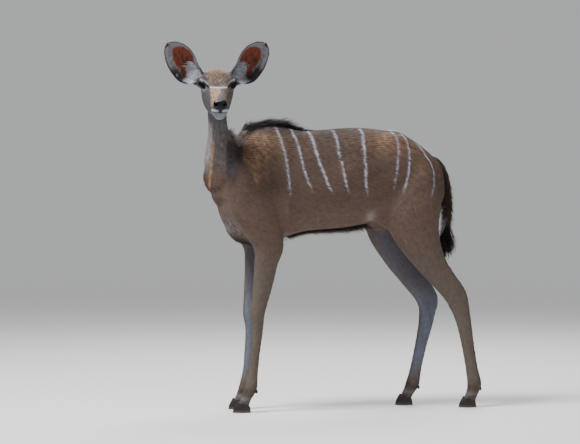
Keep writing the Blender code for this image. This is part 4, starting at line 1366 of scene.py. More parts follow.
    def mouth(self, skin: Object) -> Object:
        """The line of the mouth, as a thin plate that follows the lips.

        Args:
            skin: The skin whose lips it follows.

        Returns:
            The plate, to be cut out of the skin.
        """
        head = self.body.head
        graph = bpy.context.evaluated_depsgraph_get()
        tree = BVHTree.FromObject(skin, graph)
        ahead, up = self.mouth_middle
        middle = head.point(ahead, 0, up)
        steps = 44
        loops = []
        for step in range(steps + 1):
            share = 2 * step / steps - 1
            angle = self.mouth_sweep * share
            out = head.ahead * math.cos(angle) + head.left * math.sin(angle)
            hit = np.array(tree.ray_cast(Vector(middle), Vector(out))[0])
            depth = self.mouth_depth * math.sqrt(max(0.0, 1 - share ** 4)) + 0.0004
            lift = head.up * 0.003 * share * share
            inner = hit - out * depth + lift
            outer = hit + out * 0.006 + lift
            half = head.up * self.mouth_cut / 2
            loops.append([inner - half, outer - half * 1.4, outer + half * 1.4, inner + half])
        return Bench.from_loops("mouth", loops)

    def foot_block(self, leg: Leg) -> Object:
        """The space under a leg's coronet, where the hoof is.

        Args:
            leg: The leg.

        Returns:
            The block, to be cut out of the skin.
        """
        middle = leg.middle_at(leg.coronet)
        tilt = np.array([math.sin(leg.slope), 0, math.cos(leg.slope)])
        along = np.array([math.cos(leg.slope), 0, -math.sin(leg.slope)])
        bpy.ops.object.select_all(action="DESELECT")
        bpy.ops.mesh.primitive_cube_add(size=2.0)
        block = bpy.context.active_object
        block.name = "foot_block"
        sizes = (along * 0.075, np.array([0, 0.060, 0]), tilt * 0.040)
        turned = Matrix([Vector(size) for size in sizes]).transposed().to_4x4()
        block.data.transform(Matrix.Translation(Vector(middle - tilt * 0.0400)) @ turned)
        Bench.outwards(block)
        return block

    def make(self) -> Object:
        """Builds the whole skin.

        Returns:
            The skin, still in the body's own frame.
        """
        skin = self.fused()
        LOG.info("fused skin: %d points", len(skin.data.vertices))
        self.refine_head(skin)
        Bench.apply(skin, "TRIANGULATE")
        self.add_parts(skin)
        self.shape(skin)
        self.cut_openings(skin)
        skin = self.largest(skin)
        skin.data.shade_smooth()
        LOG.info("skin: %d triangles", sum(len(p.vertices) - 2 for p in skin.data.polygons))
        return skin

    def largest(self, skin: Object) -> Object:
        """The closed surface with the most faces, with every other dropped.

        Args:
            skin: The skin with its scraps.

        Returns:
            What is left.
        """
        Bench.edit(skin, bpy.ops.mesh.separate, type="LOOSE")
        parts = sorted(bpy.context.selected_objects, key=lambda item: len(item.data.polygons))
        for part in parts[:-1]:
            LOG.info("dropped a scrap of %d faces", len(part.data.polygons))
            bpy.data.objects.remove(part)
        parts[-1].name = "skin"
        return parts[-1]


# ---- Markings ----


@dataclass(frozen=True)
class Palette:
    """The colours of the animal, and of painted light and shade on it."""

    taupe: Colour = (0.072, 0.046, 0.035)
    # Painted sunlight on the top of the shoulder and the croup.
    sand: Colour = (0.215, 0.125, 0.068)
    belly: Colour = (0.098, 0.063, 0.048)
    dusk: Colour = (0.021, 0.017, 0.019)
    dark: Colour = (0.010, 0.007, 0.006)
    brown_black: Colour = (0.018, 0.012, 0.009)
    stripe: Colour = (0.420, 0.450, 0.540)
    # White and chin colours carry a blue cast of painted skylight.
    white: Colour = (0.400, 0.440, 0.520)
    chin: Colour = (0.165, 0.190, 0.230)
    neck: Colour = (0.080, 0.068, 0.066)
    # Painted sunlight along the throat's ridge.
    ridge: Colour = (0.360, 0.200, 0.100)
    shin: Colour = (0.088, 0.070, 0.058)
    # Inside of the legs, painted darker above as shade and bluer below as painted skylight.
    inner: Colour = (0.074, 0.070, 0.088)
    inner_low: Colour = (0.112, 0.127, 0.168)
    pale: Colour = (0.200, 0.205, 0.225)
    cream: Colour = (0.300, 0.272, 0.255)
    forehead: Colour = (0.094, 0.060, 0.040)
    bridge: Colour = (0.270, 0.155, 0.080)
    # Painted rim light along the crown.
    gold: Colour = (0.200, 0.105, 0.045)
    # Grey-blue cheeks, partly painted shade.
    cheek: Colour = (0.054, 0.050, 0.057)
    leather: Colour = (0.003, 0.004, 0.006)
    ear_red: Colour = (0.120, 0.026, 0.010)
    ear_dark: Colour = (0.020, 0.006, 0.005)
    ear_margin: Colour = (0.150, 0.142, 0.165)
    ear_line: Colour = (0.060, 0.030, 0.022)
    ear_back: Colour = (0.080, 0.062, 0.054)
    tail: Colour = (0.050, 0.030, 0.021)


@dataclass
class Layers:
    """The colours of places, with others laid over them."""

    found: Array

    def lay(self, colour: Colour | Array, share: Array, most: float | None = None) -> None:
        """Lays a colour over the rest by each share, clipped from 0 to the most if one is given."""
        self.found = mixed(self.found, colour, share if most is None else np.clip(share, 0, most))


@dataclass
class Markings:
    """What colour the coat is at each place, with painted light and shade laid in, the same for the skin and
    all that grows from it.
    """

    skin: Skin
    palette: Palette = field(default_factory=Palette)
    stripe_half: float = 0.0036
    stripes: tuple[Line, ...] = (
        (
            (-0.254, 1.241), (-0.247, 1.202), (-0.235, 1.141), (-0.227, 1.085),
            (-0.222, 1.020), (-0.217, 0.963), (-0.215, 0.924),
        ),
        ((-0.188, 1.228), (-0.171, 1.159), (-0.165, 1.107), (-0.156, 1.050), (-0.142, 0.998), (-0.117, 0.942)),
        (
            (-0.107, 1.220), (-0.102, 1.185), (-0.096, 1.128), (-0.085, 1.072),
            (-0.067, 1.020), (-0.051, 0.972), (-0.029, 0.933),
        ),
        (
            (0.003, 1.220), (0.004, 1.189), (0.002, 1.128), (0.008, 1.085),
            (0.017, 1.033), (0.024, 0.981), (0.042, 0.933),
        ),
        (
            (0.126, 1.228), (0.128, 1.202), (0.120, 1.150), (0.117, 1.094),
            (0.117, 1.042), (0.113, 0.990), (0.125, 0.924),
        ),
        (
            (0.262, 1.222), (0.277, 1.185), (0.280, 1.137), (0.271, 1.085),
            (0.261, 1.033), (0.250, 0.985), (0.244, 0.946),
        ),
        (
            (0.307, 1.216), (0.324, 1.176), (0.330, 1.128), (0.326, 1.085),
            (0.317, 1.033), (0.306, 0.990), (0.284, 0.933),
        ),
        (
            (0.373, 1.172), (0.395, 1.141), (0.416, 1.102), (0.436, 1.072),
            (0.447, 1.033), (0.438, 0.977), (0.410, 0.916),
        ),
    )
    stripe_strength: Row = (0.70, 0.80, 0.95, 0.70, 0.95, 0.72, 0.78, 0.75)
    lid_line: Line = ((0.086, 0.0052), (0.072, 0.0086), (0.060, 0.0078), (0.052, 0.0005), (0.0425, -0.0105))
    rim_line: Line = ((0.058, 0.0140), (0.051, 0.0088), (0.0425, -0.0030), (0.0360, -0.0120))
    ear_stem: Line = ((1.10, 0.15), (0.50, 0.50))

    def hue(self, points: Array, normals: Array) -> Array:
        """The colour at each place.

        Args:
            points: Places on the skin, in the body's own frame.
            normals: The way the skin faces there.

        Returns:
            One colour for each place.
        """
        tone = self.palette
        coat = Layers(np.tile(np.array(tone.taupe), (len(points), 1)))
        self.trunk_hue(coat, points, normals)
        self.leg_hue(coat, points, normals)
        self.neck_hue(coat, points)
        self.head_hue(coat, points)
        for ear in self.skin.ears:
            self.ear_hue(coat, ear, points, normals)
        on_tail = (points[:, 2] < 1.06) & (points[:, 2] > 0.70) & (np.abs(points[:, 1]) < 0.03)
        behind = ease(0.505, 0.515, points[:, 0] + 0.25 * ease(0.80, 0.74, points[:, 2]) * 0.06)
        coat.lay(tone.tail, on_tail * behind)
        return coat.found

    def trunk_hue(self, coat: Layers, points: Array, normals: Array) -> None:
        """The trunk: taupe, striped, with painted sunlight in sandy patches over the shoulder and croup, a dark
        spine and belly, and a dark line under the brisket that is partly painted shade.

        Args:
            coat: The colours so far, which others are laid over.
            points: Places, in the body's own frame.
            normals: The way the skin faces at each.
        """
        tone = self.palette
        x, y, z = points.T
        broad = mottle(points, 0.055, 2)
        streaks = mottle(points * [0.42, 0.7, 1.4], 0.0058, 4) + 0.5 * mottle(points, 0.0048, 5)
        streaks = streaks + 0.35 * mottle(points, 0.020, 3)
        coat.found *= (1 + 0.12 * broad + 0.10 * streaks)[:, None]
        side = np.stack([x, z], axis=1)
        back = ease(1.05, 1.15, z) * ease(-0.27, -0.20, x) * ease(0.24, 0.12, x)
        coat.lay(tone.dusk, back * (0.45 - 0.12 * streaks))
        # Painted sunlight: sandy patches over the top of the shoulder and the croup.
        edge = self.shoulder_edge(points)
        shoulder = hill(side, (-0.380, 1.120), (0.060, 0.080))
        shoulder = shoulder + 0.8 * hill(side, (-0.320, 1.160), (0.080, 0.060))
        shoulder = shoulder + 0.6 * hill(side, (-0.372, 1.010), (0.018, 0.045))
        shoulder = shoulder + 0.25 * hill(side, (-0.160, 1.150), (0.090, 0.050))
        shoulder = shoulder * ease(-0.002, 0.008, edge)
        croup = 0.75 * hill(side, (0.260, 1.165), (0.160, 0.045))
        croup = croup + 0.35 * hill(side, (0.400, 1.060), (0.060, 0.090))
        sunlit_patch = np.clip(shoulder + croup, 0, 1)
        coat.lay(tone.sand, sunlit_patch * (0.60 + 0.45 * streaks), 0.95)
        # Painted shading lines through the sunlit patches.
        coat.lay(tone.dusk, sunlit_patch * (-0.15 - 0.60 * streaks), 0.8)
        coat.lay(tone.belly, ease(0.98, 0.84, z) * 0.8)
        chest = hill(side, (-0.470, 0.800), (0.060, 0.050)) * ease(0.13, 0.08, np.abs(y))
        coat.lay(tone.pale, chest * (0.35 + 0.55 * streaks), 0.8)
        under_mane = ease(1.188, 1.210, z) * ease(-0.405, -0.375, x) * ease(-0.10, -0.20, x)
        coat.lay(tone.dusk, under_mane * (0.60 - 0.20 * streaks), 0.9)
        flank = hill(side, (0.152, 0.842), (0.018, 0.024))
        coat.lay(tone.cream, flank * 0.40)
        crease = hill(side, (-0.225, 0.860), (0.008, 0.060))
        coat.lay(tone.pale, crease * 0.10)
        for line, strength in zip(self.stripes, self.stripe_strength):
            corners = np.array(line)
            for sign in (-1, 1):
                shifted = corners if sign < 0 else corners + [0.010 * math.sin(corners[0, 0] * 40), 0]
                distance, along = across_line(side, shifted)
                distance = distance + 0.0007 * mottle(points, 0.010, 8)
                thin = self.stripe_half * strength * (1.0 - 0.30 * along)
                mask = ease(thin * 1.45, thin * 0.60, distance) * ease(1.02, 0.80, along) * (y * sign >= 0)
                mask = mask * (0.30 + 0.72 * strength) * (0.90 + 0.25 * mottle(points, 0.016, 9))
                coat.lay(tone.stripe, mask, 1)
        above = (z > 1.02) & (normals[:, 2] > 0.2)
        wide = 0.040 + 0.006 * ease(0.10, 0.25, x)
        on_back = ((normals[:, 2] > 0.2) | (x > 0.42)) * (z > 0.95)
        spine = ease(wide, wide * 0.6, np.abs(y)) * on_back * ease(-0.40, -0.36, x)
        coat.lay(tone.brown_black, spine * 0.85)
        mark = ease(0.026, 0.012, np.abs(y)) * hill(side, (0.275, 1.21), (0.036, 0.05)) * above
        coat.lay(tone.stripe, mark * 0.8)
        below = (x > -0.47) * (x < 0.2) * (z > 0.69)
        under = ease(-0.72, -0.93, normals[:, 2]) * ease(0.06, 0.02, np.abs(y)) * below
        coat.lay(tone.dark, under * 0.9)
        # A dark line under the brisket: partly dark hair, partly painted shade.
        brisket = ease(0.775, 0.735, z) * (x < -0.30) * (np.abs(y) < 0.085) * (z > 0.69)
        coat.lay(tone.dark, brisket * ease(0.07, 0.03, np.abs(y)) * 0.8)

    @staticmethod
    def seen_along(x: Array, y: Array) -> Array:
        """How far along the photograph a place is seen, at its camera's 15 degrees."""
        return 0.966 * x + 0.259 * y

    def shoulder_edge(self, points: Array) -> Array:
        """How far back of the shoulder's front edge each place is, as seen from the side."""
        x, y, z = points.T
        edge = np.interp(z, (0.95, 0.975, 1.033, 1.085, 1.16), (-0.315, -0.321, -0.3385, -0.373, -0.3776))
        return self.seen_along(x, np.abs(y)) - edge

    def leg_hue(self, coat: Layers, points: Array, normals: Array) -> None:
        """The legs: greyer brown outside, pale grey inside with painted shade high up and a blue cast of
        painted skylight lower down, and dark by the hooves.

        Args:
            coat: The colours so far, which others are laid over.
            points: Places, in the body's own frame.
            normals: The way the skin faces at each.
        """
        tone = self.palette
        _, y, z = points.T
        low = ease(0.80, 0.55, z)
        coat.lay(tone.shin, low * (0.85 + 0.15 * mottle(points, 0.03, 21)))
        inner = ease(0.15, 0.75, -normals[:, 1] * np.sign(y)) * ease(0.86, 0.74, z) * ease(0.10, 0.22, z)
        grain = mottle(points * [1.0, 1.0, 0.22], 0.010, 23)
        # Inside the legs: painted shade high up, and a blue cast of painted skylight lower down.
        coat.lay(tone.inner, inner * (0.85 + 0.12 * grain))
        coat.lay(tone.inner_low, inner * ease(0.58, 0.40, z) * (0.75 + 0.20 * grain))
        pastern = ease(0.135, 0.085, z)
        coat.lay(tone.brown_black, pastern * (0.45 + 0.25 * mottle(points, 0.02, 22)))
        coat.lay(tone.pale, ease(0.075, 0.060, z) * ease(0.048, 0.056, z) * 0.3)

    def neck_hue(self, coat: Layers, points: Array) -> None:
        """The neck: grey-brown and speckled, with painted sunlight down its lit side and along the throat's
        ridge, and painted shadow where its base meets the shoulder.

        Args:
            coat: The colours so far, which others are laid over.
            points: Places, in the body's own frame.
        """
        tone = self.palette
        middles, _, _ = self.skin.body.neck_middles()
        x, y, z = points.T
        gaps = np.linalg.norm(points[:, None] - middles[None, 1:6], axis=2).min(axis=1)
        on_neck = ease(0.15, 0.08, gaps) * ease(1.00, 1.10, z) * ease(-0.425, -0.455, x)
        speckle = 0.5 + 0.5 * mottle(points, 0.007, 31)
        coat.lay(tone.neck, on_neck * 0.9)
        coat.lay(tone.dusk, on_neck * (0.5 - speckle) * 0.6, 1)
        coat.lay(tone.pale, on_neck * (speckle - 0.35) * 0.30, 1)
        # Painted sunlight: the lit side of the neck is paler.
        across = np.interp(z, (0.95, 1.00, 1.10, 1.16, 1.27), (-0.522, -0.517, -0.507, -0.500, -0.497))
        facing = self.seen_along(x, -y) - across
        lit = ease(-0.003, -0.010, facing) * ease(0.98, 1.06, z)
        coat.lay(tone.cream, on_neck * lit * (0.62 + 0.6 * (speckle - 0.5)), 0.9)
        # Painted shadow on the side of the neck's base, up to the shoulder's front edge.
        behind = self.shoulder_edge(points)
        side = self.seen_along(x, np.abs(y))
        limit = np.interp(z, (0.96, 1.03, 1.08, 1.12), (-0.412, -0.400, -0.378, -0.340))
        neck_base_shadow = ease(-0.452, -0.438, side) * ease(0.004, -0.008, behind) * ease(0.014, -0.014, side - limit)
        neck_base_shadow = neck_base_shadow * ease(0.95, 1.03, z) * ease(1.185, 1.160, z)
        coat.lay(tone.dusk, neck_base_shadow * (0.78 + 0.15 * mottle(points, 0.012, 33)), 0.92)
        # Painted sunlight: a thin bright rim down the throat's ridge.
        ridge = bell(facing, 0.0040) * ease(0.95, 0.98, z) * ease(1.19, 1.14, z)
        coat.lay(tone.ridge, ridge * (x < -0.47) * (0.72 + 0.20 * mottle(points, 0.010, 32)), 1)

    def head_hue(self, coat: Layers, points: Array) -> None:
        """The face: flecked brow, a white line between the eyes, tawny bridge, black nose, white lips, with
        painted rim light on the crown, painted shadow at the temples, and painted light and shade across the
        bridge and cheeks.

        Args:
            coat: The colours so far, which others are laid over.
            points: Places, in the body's own frame.
        """
        tone = self.palette
        own = self.skin.body.head.local(points)
        ahead, left, up = own.T
        side = np.abs(left)
        level = 0.970 * up - 0.200 * ahead
        on_head = ease(0.255, 0.19, self.skin.from_eyes(points)) * ease(-0.16, -0.10, ahead)
        coat.lay(tone.cheek, on_head)
        along = own * [0.42, 1.5, 0.42]
        fleck = 0.5 * mottle(along, 0.0068, 41) + 0.4 * mottle(along, 0.0040, 43)
        fleck = fleck + 0.4 * mottle(points, 0.021, 42)
        lines = mottle(own * [0.36, 1.7, 0.36], 0.0050, 44) + 0.4 * fleck
        her_left = ease(-0.006, 0.012, left)
        half = 0.039 + 0.017 * ease(0.016, 0.042, level) + 0.010 * her_left
        face = np.maximum(ease(-0.075, -0.035, ahead), ease(0.015, 0.050, up))
        brow = ease(half + 0.005, half - 0.005, side) * ease(-0.014, -0.006, level) * on_head * face
        coat.lay(tone.forehead, brow * 0.95)
        coat.lay(tone.dusk, brow * (0.10 + 0.16 * ease(0.040, 0.008, level) - 0.60 * fleck), 0.75)
        coat.lay(tone.pale, brow * (fleck - 0.30) * 0.45, 0.40)
        # Painted rim light: a golden edge of lit hair along the top of the crown.
        crown = brow * ease(0.044, 0.056, level) * (ahead > -0.09)
        coat.lay(tone.gold, crown * np.clip(0.65 + 0.3 * fleck, 0, 1))
        # Painted shadow between the ears and the eyes.
        temple_shadow = ease(half - 0.003, half + 0.005, side) * ease(0.012, 0.019, level) * ease(0.066, 0.050, level)
        coat.lay(tone.dark, temple_shadow * (ahead > -0.09) * on_head * 0.72)
        # Painted light and shade across the face: her left cheek is painted warmer, and her right keeps the
        # grey-blue cheek colour as painted shade.
        warm = on_head * her_left * ease(-0.008, -0.020, level) * ease(-0.100, -0.020, ahead)
        coat.lay(tone.taupe, warm * 0.5)
        flank = 0.036 + 0.016 * her_left
        bridge = ease(flank + 0.003, flank - 0.003, side) * ease(-0.010, -0.018, level)
        bridge = bridge * ease(-0.096, -0.080, level) * on_head
        coat.lay(tone.bridge, bridge * np.clip(0.80 + 0.25 * lines, 0, 1))
        # The bridge is painted lit on her right side, with pale streaks, and shaded on her left, darker and
        # greyer.
        coat.lay(tone.cream, bridge * (1 - her_left) * (lines - 0.25) * 0.55, 0.5)
        coat.lay(tone.neck, bridge * her_left * 0.78)
        coat.lay(tone.dusk, bridge * (0.42 * her_left - 0.05 - 0.30 * lines), 0.60)
        streak = ease(0.0080, 0.0020, side) * ease(-0.014, -0.020, level) * ease(-0.060, -0.036, level)
        coat.lay(tone.pale, streak * on_head * (0.60 + 0.30 * lines), 0.85)
        spread = (-level - 0.034) * 0.55 - side + 0.002 * fleck
        beside = ease(-0.003, 0.004, spread) * (level > -0.080) * on_head * (ahead > 0.08)
        coat.lay(tone.cheek, beside * 0.85)
        line = bell(level + 0.0134 - 1.6 * side * side, 0.0022) * ease(0.039, 0.034, side) * (ahead > 0)
        coat.lay(tone.white, line * on_head * (1.0 + 0.15 * fleck), 0.84)
        for eye in self.skin.eyes:
            self.lid_hue(coat, eye, points)
        plan = np.stack([side, level], axis=1)
        near_eyes = ease(-0.026, -0.006, ahead) * (ahead < 0.10) * on_head
        rim, _ = across_line(plan, np.array(self.rim_line))
        coat.lay(tone.white, ease(0.0028, 0.0008, rim) * near_eyes * 0.28)
        lid, share = across_line(plan, np.array(self.lid_line))
        coat.lay(tone.leather, ease(0.0044, 0.0028, lid - 0.0012 * share) * near_eyes)
        muzzle = ease(0.150, 0.164, ahead) * on_head
        lips = muzzle * ease(1.12, 0.88, oval(side, up, (0.0235, -0.0745), (0.0160, 0.0075)))
        coat.lay(tone.white, lips * 0.82)
        beside = muzzle * ease(0.030, 0.036, side) * ease(-0.060, -0.070, up)
        coat.lay(tone.pale, beside * 0.35)
        chin = ease(0.100, 0.140, ahead) * ease(-0.080, -0.0845, up) * on_head
        coat.lay(tone.chin, chin * (0.90 + 0.20 * fleck), 1)
        throat = ease(-0.06, 0.06, ahead) * ease(-0.095, -0.115, up) * on_head * ease(0.05, 0.02, side)
        coat.lay(tone.pale, throat * 0.5)
        coat.lay(tone.dark, self.lip_line(ahead, up) * on_head * 0.95)
        coat.lay(tone.leather, self.nose_pad(points))

    @staticmethod
    def lip_line(ahead: Array, up: Array) -> Array:
        """How near each place is to the line where the lips meet."""
        return bell(up + 0.0800, 0.0022) * ease(0.085, 0.12, ahead)

    def lid_hue(self, coat: Layers, eye: EyeSocket, points: Array) -> None:
        """The lids: black edges, a pale surround, and a dark line out from the upper one.

        Args:
            coat: The colours so far, which others are laid over.
            eye: The eye, with its lids.
            points: Places, in the body's own frame.
        """
        tone = self.palette
        place, out = eye.local(points)
        away = points - eye.centre
        outer = away @ eye.across * eye.sign
        high = away @ eye.up
        front = (out > -0.004) * (np.linalg.norm(away, axis=1) < 0.060)
        pale = ease(2.5, 1.7, place) * front
        coat.lay(tone.pale, pale * (0.10 + 0.25 * ease(0.002, -0.012, high)))
        brow = hill(np.stack([outer, high], axis=1), (0.012, 0.0182), (0.0120, 0.0030)) * front
        coat.lay(tone.white, brow * 0.38, 1)
        lash = bell(high - 0.0085 + 0.16 * outer, 0.0050)
        lash = lash * ease(-0.014, 0.002, outer) * ease(0.050, 0.038, outer)
        coat.lay(tone.dark, np.clip(lash * 1.2, 0, 1) * front * 0.95)
        coat.lay(tone.leather, ease(1.50, 1.32, place) * front)

    def nose_pad(self, points: Array) -> Array:
        """How far each place is bare nose: a lobe round each nostril, and the strip between the lips.

        Args:
            points: Places, in the body's own frame.

        Returns:
            One number from 0 to 1 for each place.
        """
        ahead, left, up = self.skin.body.head.local(points).T
        side = np.abs(left)
        lobes = ease(1.06, 0.94, oval(side, up, (0.0150, -0.0460), (0.0148, 0.0175)))
        middle = ease(0.016, 0.013, side) * ease(-0.0300, -0.0335, up) * ease(-0.0660, -0.0630, up)
        wide = 0.0052 + 0.0030 * ease(-0.072, -0.064, up)
        strip = ease(wide, wide - 0.0016, side) * ease(-0.0815, -0.079, up) * (up < -0.05)
        found = np.maximum(np.maximum(lobes, middle), strip)
        return found * ease(0.160, 0.168, ahead)

    def bare(self, points: Array) -> Array:
        """How far each place is bare leather: the nose, the lids' edges and inside the mouth.

        Args:
            points: Places, in the body's own frame.

        Returns:
            One number from 0 to 1 for each place.
        """
        found = self.nose_pad(points)
        for eye in self.skin.eyes:
            place, out = eye.local(points)
            close = gap(points, eye.centre) < 0.035
            found = np.maximum(found, ease(1.34, 1.22, place) * (out > 0.0) * close)
        return found

    def ear_hue(self, coat: Layers, ear: Ear, points: Array, normals: Array) -> None:
        """An ear: red-brown within, pale along its margins, black round its outer edge.

        Args:
            coat: The colours so far, which others are laid over.
            ear: The ear.
            points: Places, in the body's own frame.
            normals: The way the skin faces at each.
        """
        tone = self.palette
        share, across, _ = ear.local(points)
        on = ear.belongs(points)
        inside = on & (normals @ ear.open_to > 0.05)
        outside = on & ~inside
        coat.lay(tone.ear_back, outside * 0.9)
        patch = mottle(points, 0.012, 51)
        fine = mottle(points, 0.0038, 52)
        coat.lay(tone.ear_margin, inside * 1.0)
        arcs = oval(share, across, (0.55, -0.20), (0.50, 1.02)) + 0.025 * patch
        for radius, width in ((0.78, 0.016), (0.86, 0.012), (0.93, 0.013)):
            line = bell(arcs - radius, width) * (across > -0.3) * ease(0.25, 0.40, share)
            coat.lay(tone.ear_line, inside * line * (0.70 + 0.25 * fine))
        body = oval(share, across, (0.57, -0.17), (0.29, 0.72)) + 0.04 * patch
        stem_gap, _ = across_line(np.stack([share * 2.2, across], axis=1), np.array(self.ear_stem))
        red = np.maximum(ease(1.05, 0.93, body), ease(0.26, 0.16, stem_gap + 0.03 * patch))
        fan = ease(1.10, 0.90, oval(share, across, *ear.fan) + 0.06 * fine)
        red = red * (1 - fan)
        warm = mixed(np.array(tone.ear_red), tone.ear_dark, ease(0.55, 0.30, share) * 0.35)
        coat.lay(warm, inside * red)
        middle = hill(np.stack([share, across], axis=1), (0.55, -0.05), (0.18, 0.34))
        blotch = 0.35 * patch + 0.55 * fine + 0.35 * mottle(points, 0.0065, 53) + 0.7 * middle - 0.15
        blotch = ease(0.0, 0.9, blotch)
        coat.lay(tone.ear_dark, inside * red * blotch * 0.85)
        coat.lay(tone.pale, inside * fan * (0.85 + 0.15 * fine))
        edge = ease(0.52, 0.68, across) * ease(0.13, 0.20, share) * ease(0.60, 0.48, share)
        coat.lay(tone.dark, inside * edge * ease(-1.1, -0.5, patch) * 0.95)
        low = ease(0.24, 0.16, share) * ease(0.30, 0.50, across)
        coat.lay(tone.white, inside * low * 0.5)
        root = on * ease(0.26, 0.14, share) * ease(-0.60, -0.85, across)
        foot = on * ease(0.10, 0.03, share) * ease(0.30, -0.10, across)
        coat.lay(tone.dark, np.maximum(root, foot) * 0.75)
        rim = ease(0.895, 0.935, across) * ease(0.04, 0.12, share) + ease(0.950, 0.975, share) * (across > -0.2)
        thin = ease(-0.93, -0.965, across) * ease(0.30, 0.45, share)
        coat.lay(tone.dark, np.clip(rim + thin, 0, 1) * on * 0.95)


# ---- The coat ----


@dataclass
class Ground:
    """The skin as the ground that hair grows from."""

    skin: Object

    def __post_init__(self) -> None:
        """Reads the skin's triangles, their corners, directions and places on its unwrap."""
        mesh = self.skin.data
        self.unwrap()
        mesh.calc_loop_triangles()
        count = len(mesh.loop_triangles)
        corners = np.empty(count * 3, np.int32)
        mesh.loop_triangles.foreach_get("vertices", corners)
        loops = np.empty(count * 3, np.int32)
        mesh.loop_triangles.foreach_get("loops", loops)
        flat = np.empty(len(mesh.loops) * 2, np.float32)
        mesh.uv_layers["Unwrap"].uv.foreach_get("vector", flat)
        mesh.uv_layers.remove(mesh.uv_layers["Unwrap"])
        points = Bench.points(self.skin)
        facing = Bench.normals(self.skin)
        self.corners = points[corners].reshape(-1, 3, 3)
        self.facing = facing[corners].reshape(-1, 3, 3)
        self.places = flat.reshape(-1, 2)[loops].reshape(-1, 3, 2)
        edges = self.corners[:, 1:] - self.corners[:, :1]
        self.areas = np.linalg.norm(np.cross(edges[:, 0], edges[:, 1]), axis=1) / 2
        self.middles = self.corners.mean(axis=1)
        self.outward = unit(self.facing.mean(axis=1))

    def unwrap(self) -> None:
        """Lays the skin out flat, by its own shape."""
        layers = self.skin.data.uv_layers
        layers.active = layers.new(name="Unwrap")
        Bench.edit(self.skin, bpy.ops.uv.smart_project, angle_limit=math.radians(72), island_margin=0.002)

    def sow(self, density: Array, seed: int) -> tuple[Array, Array, Array]:
        """Spreads roots over the skin.

        Args:
            density: How many roots a square metre of each triangle has.
            seed: Which of the possible spreads it is.

        Returns:
            The roots' points, the way the skin faces there, and their places on its unwrap.
        """
        draw = np.random.default_rng(seed)
        reach = np.cumsum(self.areas * density)
        count = int(reach[-1])
        picks = (np.arange(count) + draw.uniform(size=count)) * (reach[-1] / count)
        chosen = np.clip(np.searchsorted(reach, picks), 0, len(reach) - 1)
        first, second = draw.uniform(size=(2, count))
        flip = first + second > 1
        first, second = np.where(flip, 1 - first, first), np.where(flip, 1 - second, second)
        shares = np.stack([1 - first - second, first, second], axis=1)[..., None]
        roots = (self.corners[chosen] * shares).sum(axis=1)
        facing = unit((self.facing[chosen] * shares).sum(axis=1))
        return roots, facing, (self.places[chosen] * shares).sum(axis=1)


@dataclass(frozen=True)
class TuftShape:
    """The points of one tuft, along, across and up, and its faces."""

    along: tuple[float, ...]
    across: tuple[float, ...]
    rise: tuple[float, ...]
    faces: tuple[tuple[int, ...], ...]

    @staticmethod
    def blade() -> "TuftShape":
        """A short flat tuft with a low ridge: six triangles.

        Returns:
            The shape.
        """
        return TuftShape(
            (0.0, 0.0, 0.0, 0.55, 0.55, 0.55, 1.0),
            (-0.42, 0.0, 0.42, -0.5, 0.0, 0.5, 0.0),
            (0.0, 0.5, 0.0, 0.0, 0.7, 0.0, 0.3),
            ((0, 3, 4, 1), (1, 4, 5, 2), (3, 6, 4), (4, 6, 5)),
        )

    @staticmethod
    def lock(rings: int) -> "TuftShape":
        """A long lock with four sides that tapers to a point.

        Args:
            rings: How many rings of corners it has.

        Returns:
            The shape.
        """
        along, across, rise, faces = [], [], [], []
        for ring in range(rings):
            share = ring / rings
            wide = 0.5 * (0.80 + 0.55 * share) * (1 - share ** 2.2)
            for side, height in ((-1, 0), (0, 1), (1, 0), (0, -1)):
                along.append(share)
                across.append(side * wide)
                rise.append(height * wide)
        along.append(1.0)
        across.append(0.0)
        rise.append(0.0)
        for ring in range(rings - 1):
            for k in range(4):
                after = (k + 1) % 4
                faces.append((ring * 4 + k, (ring + 1) * 4 + k, (ring + 1) * 4 + after, ring * 4 + after))
        for k in range(4):
            faces.append(((rings - 1) * 4 + k, rings * 4, (rings - 1) * 4 + (k + 1) % 4))
        faces.append((0, 1, 2, 3))
        return TuftShape(tuple(along), tuple(across), tuple(rise), tuple(faces))


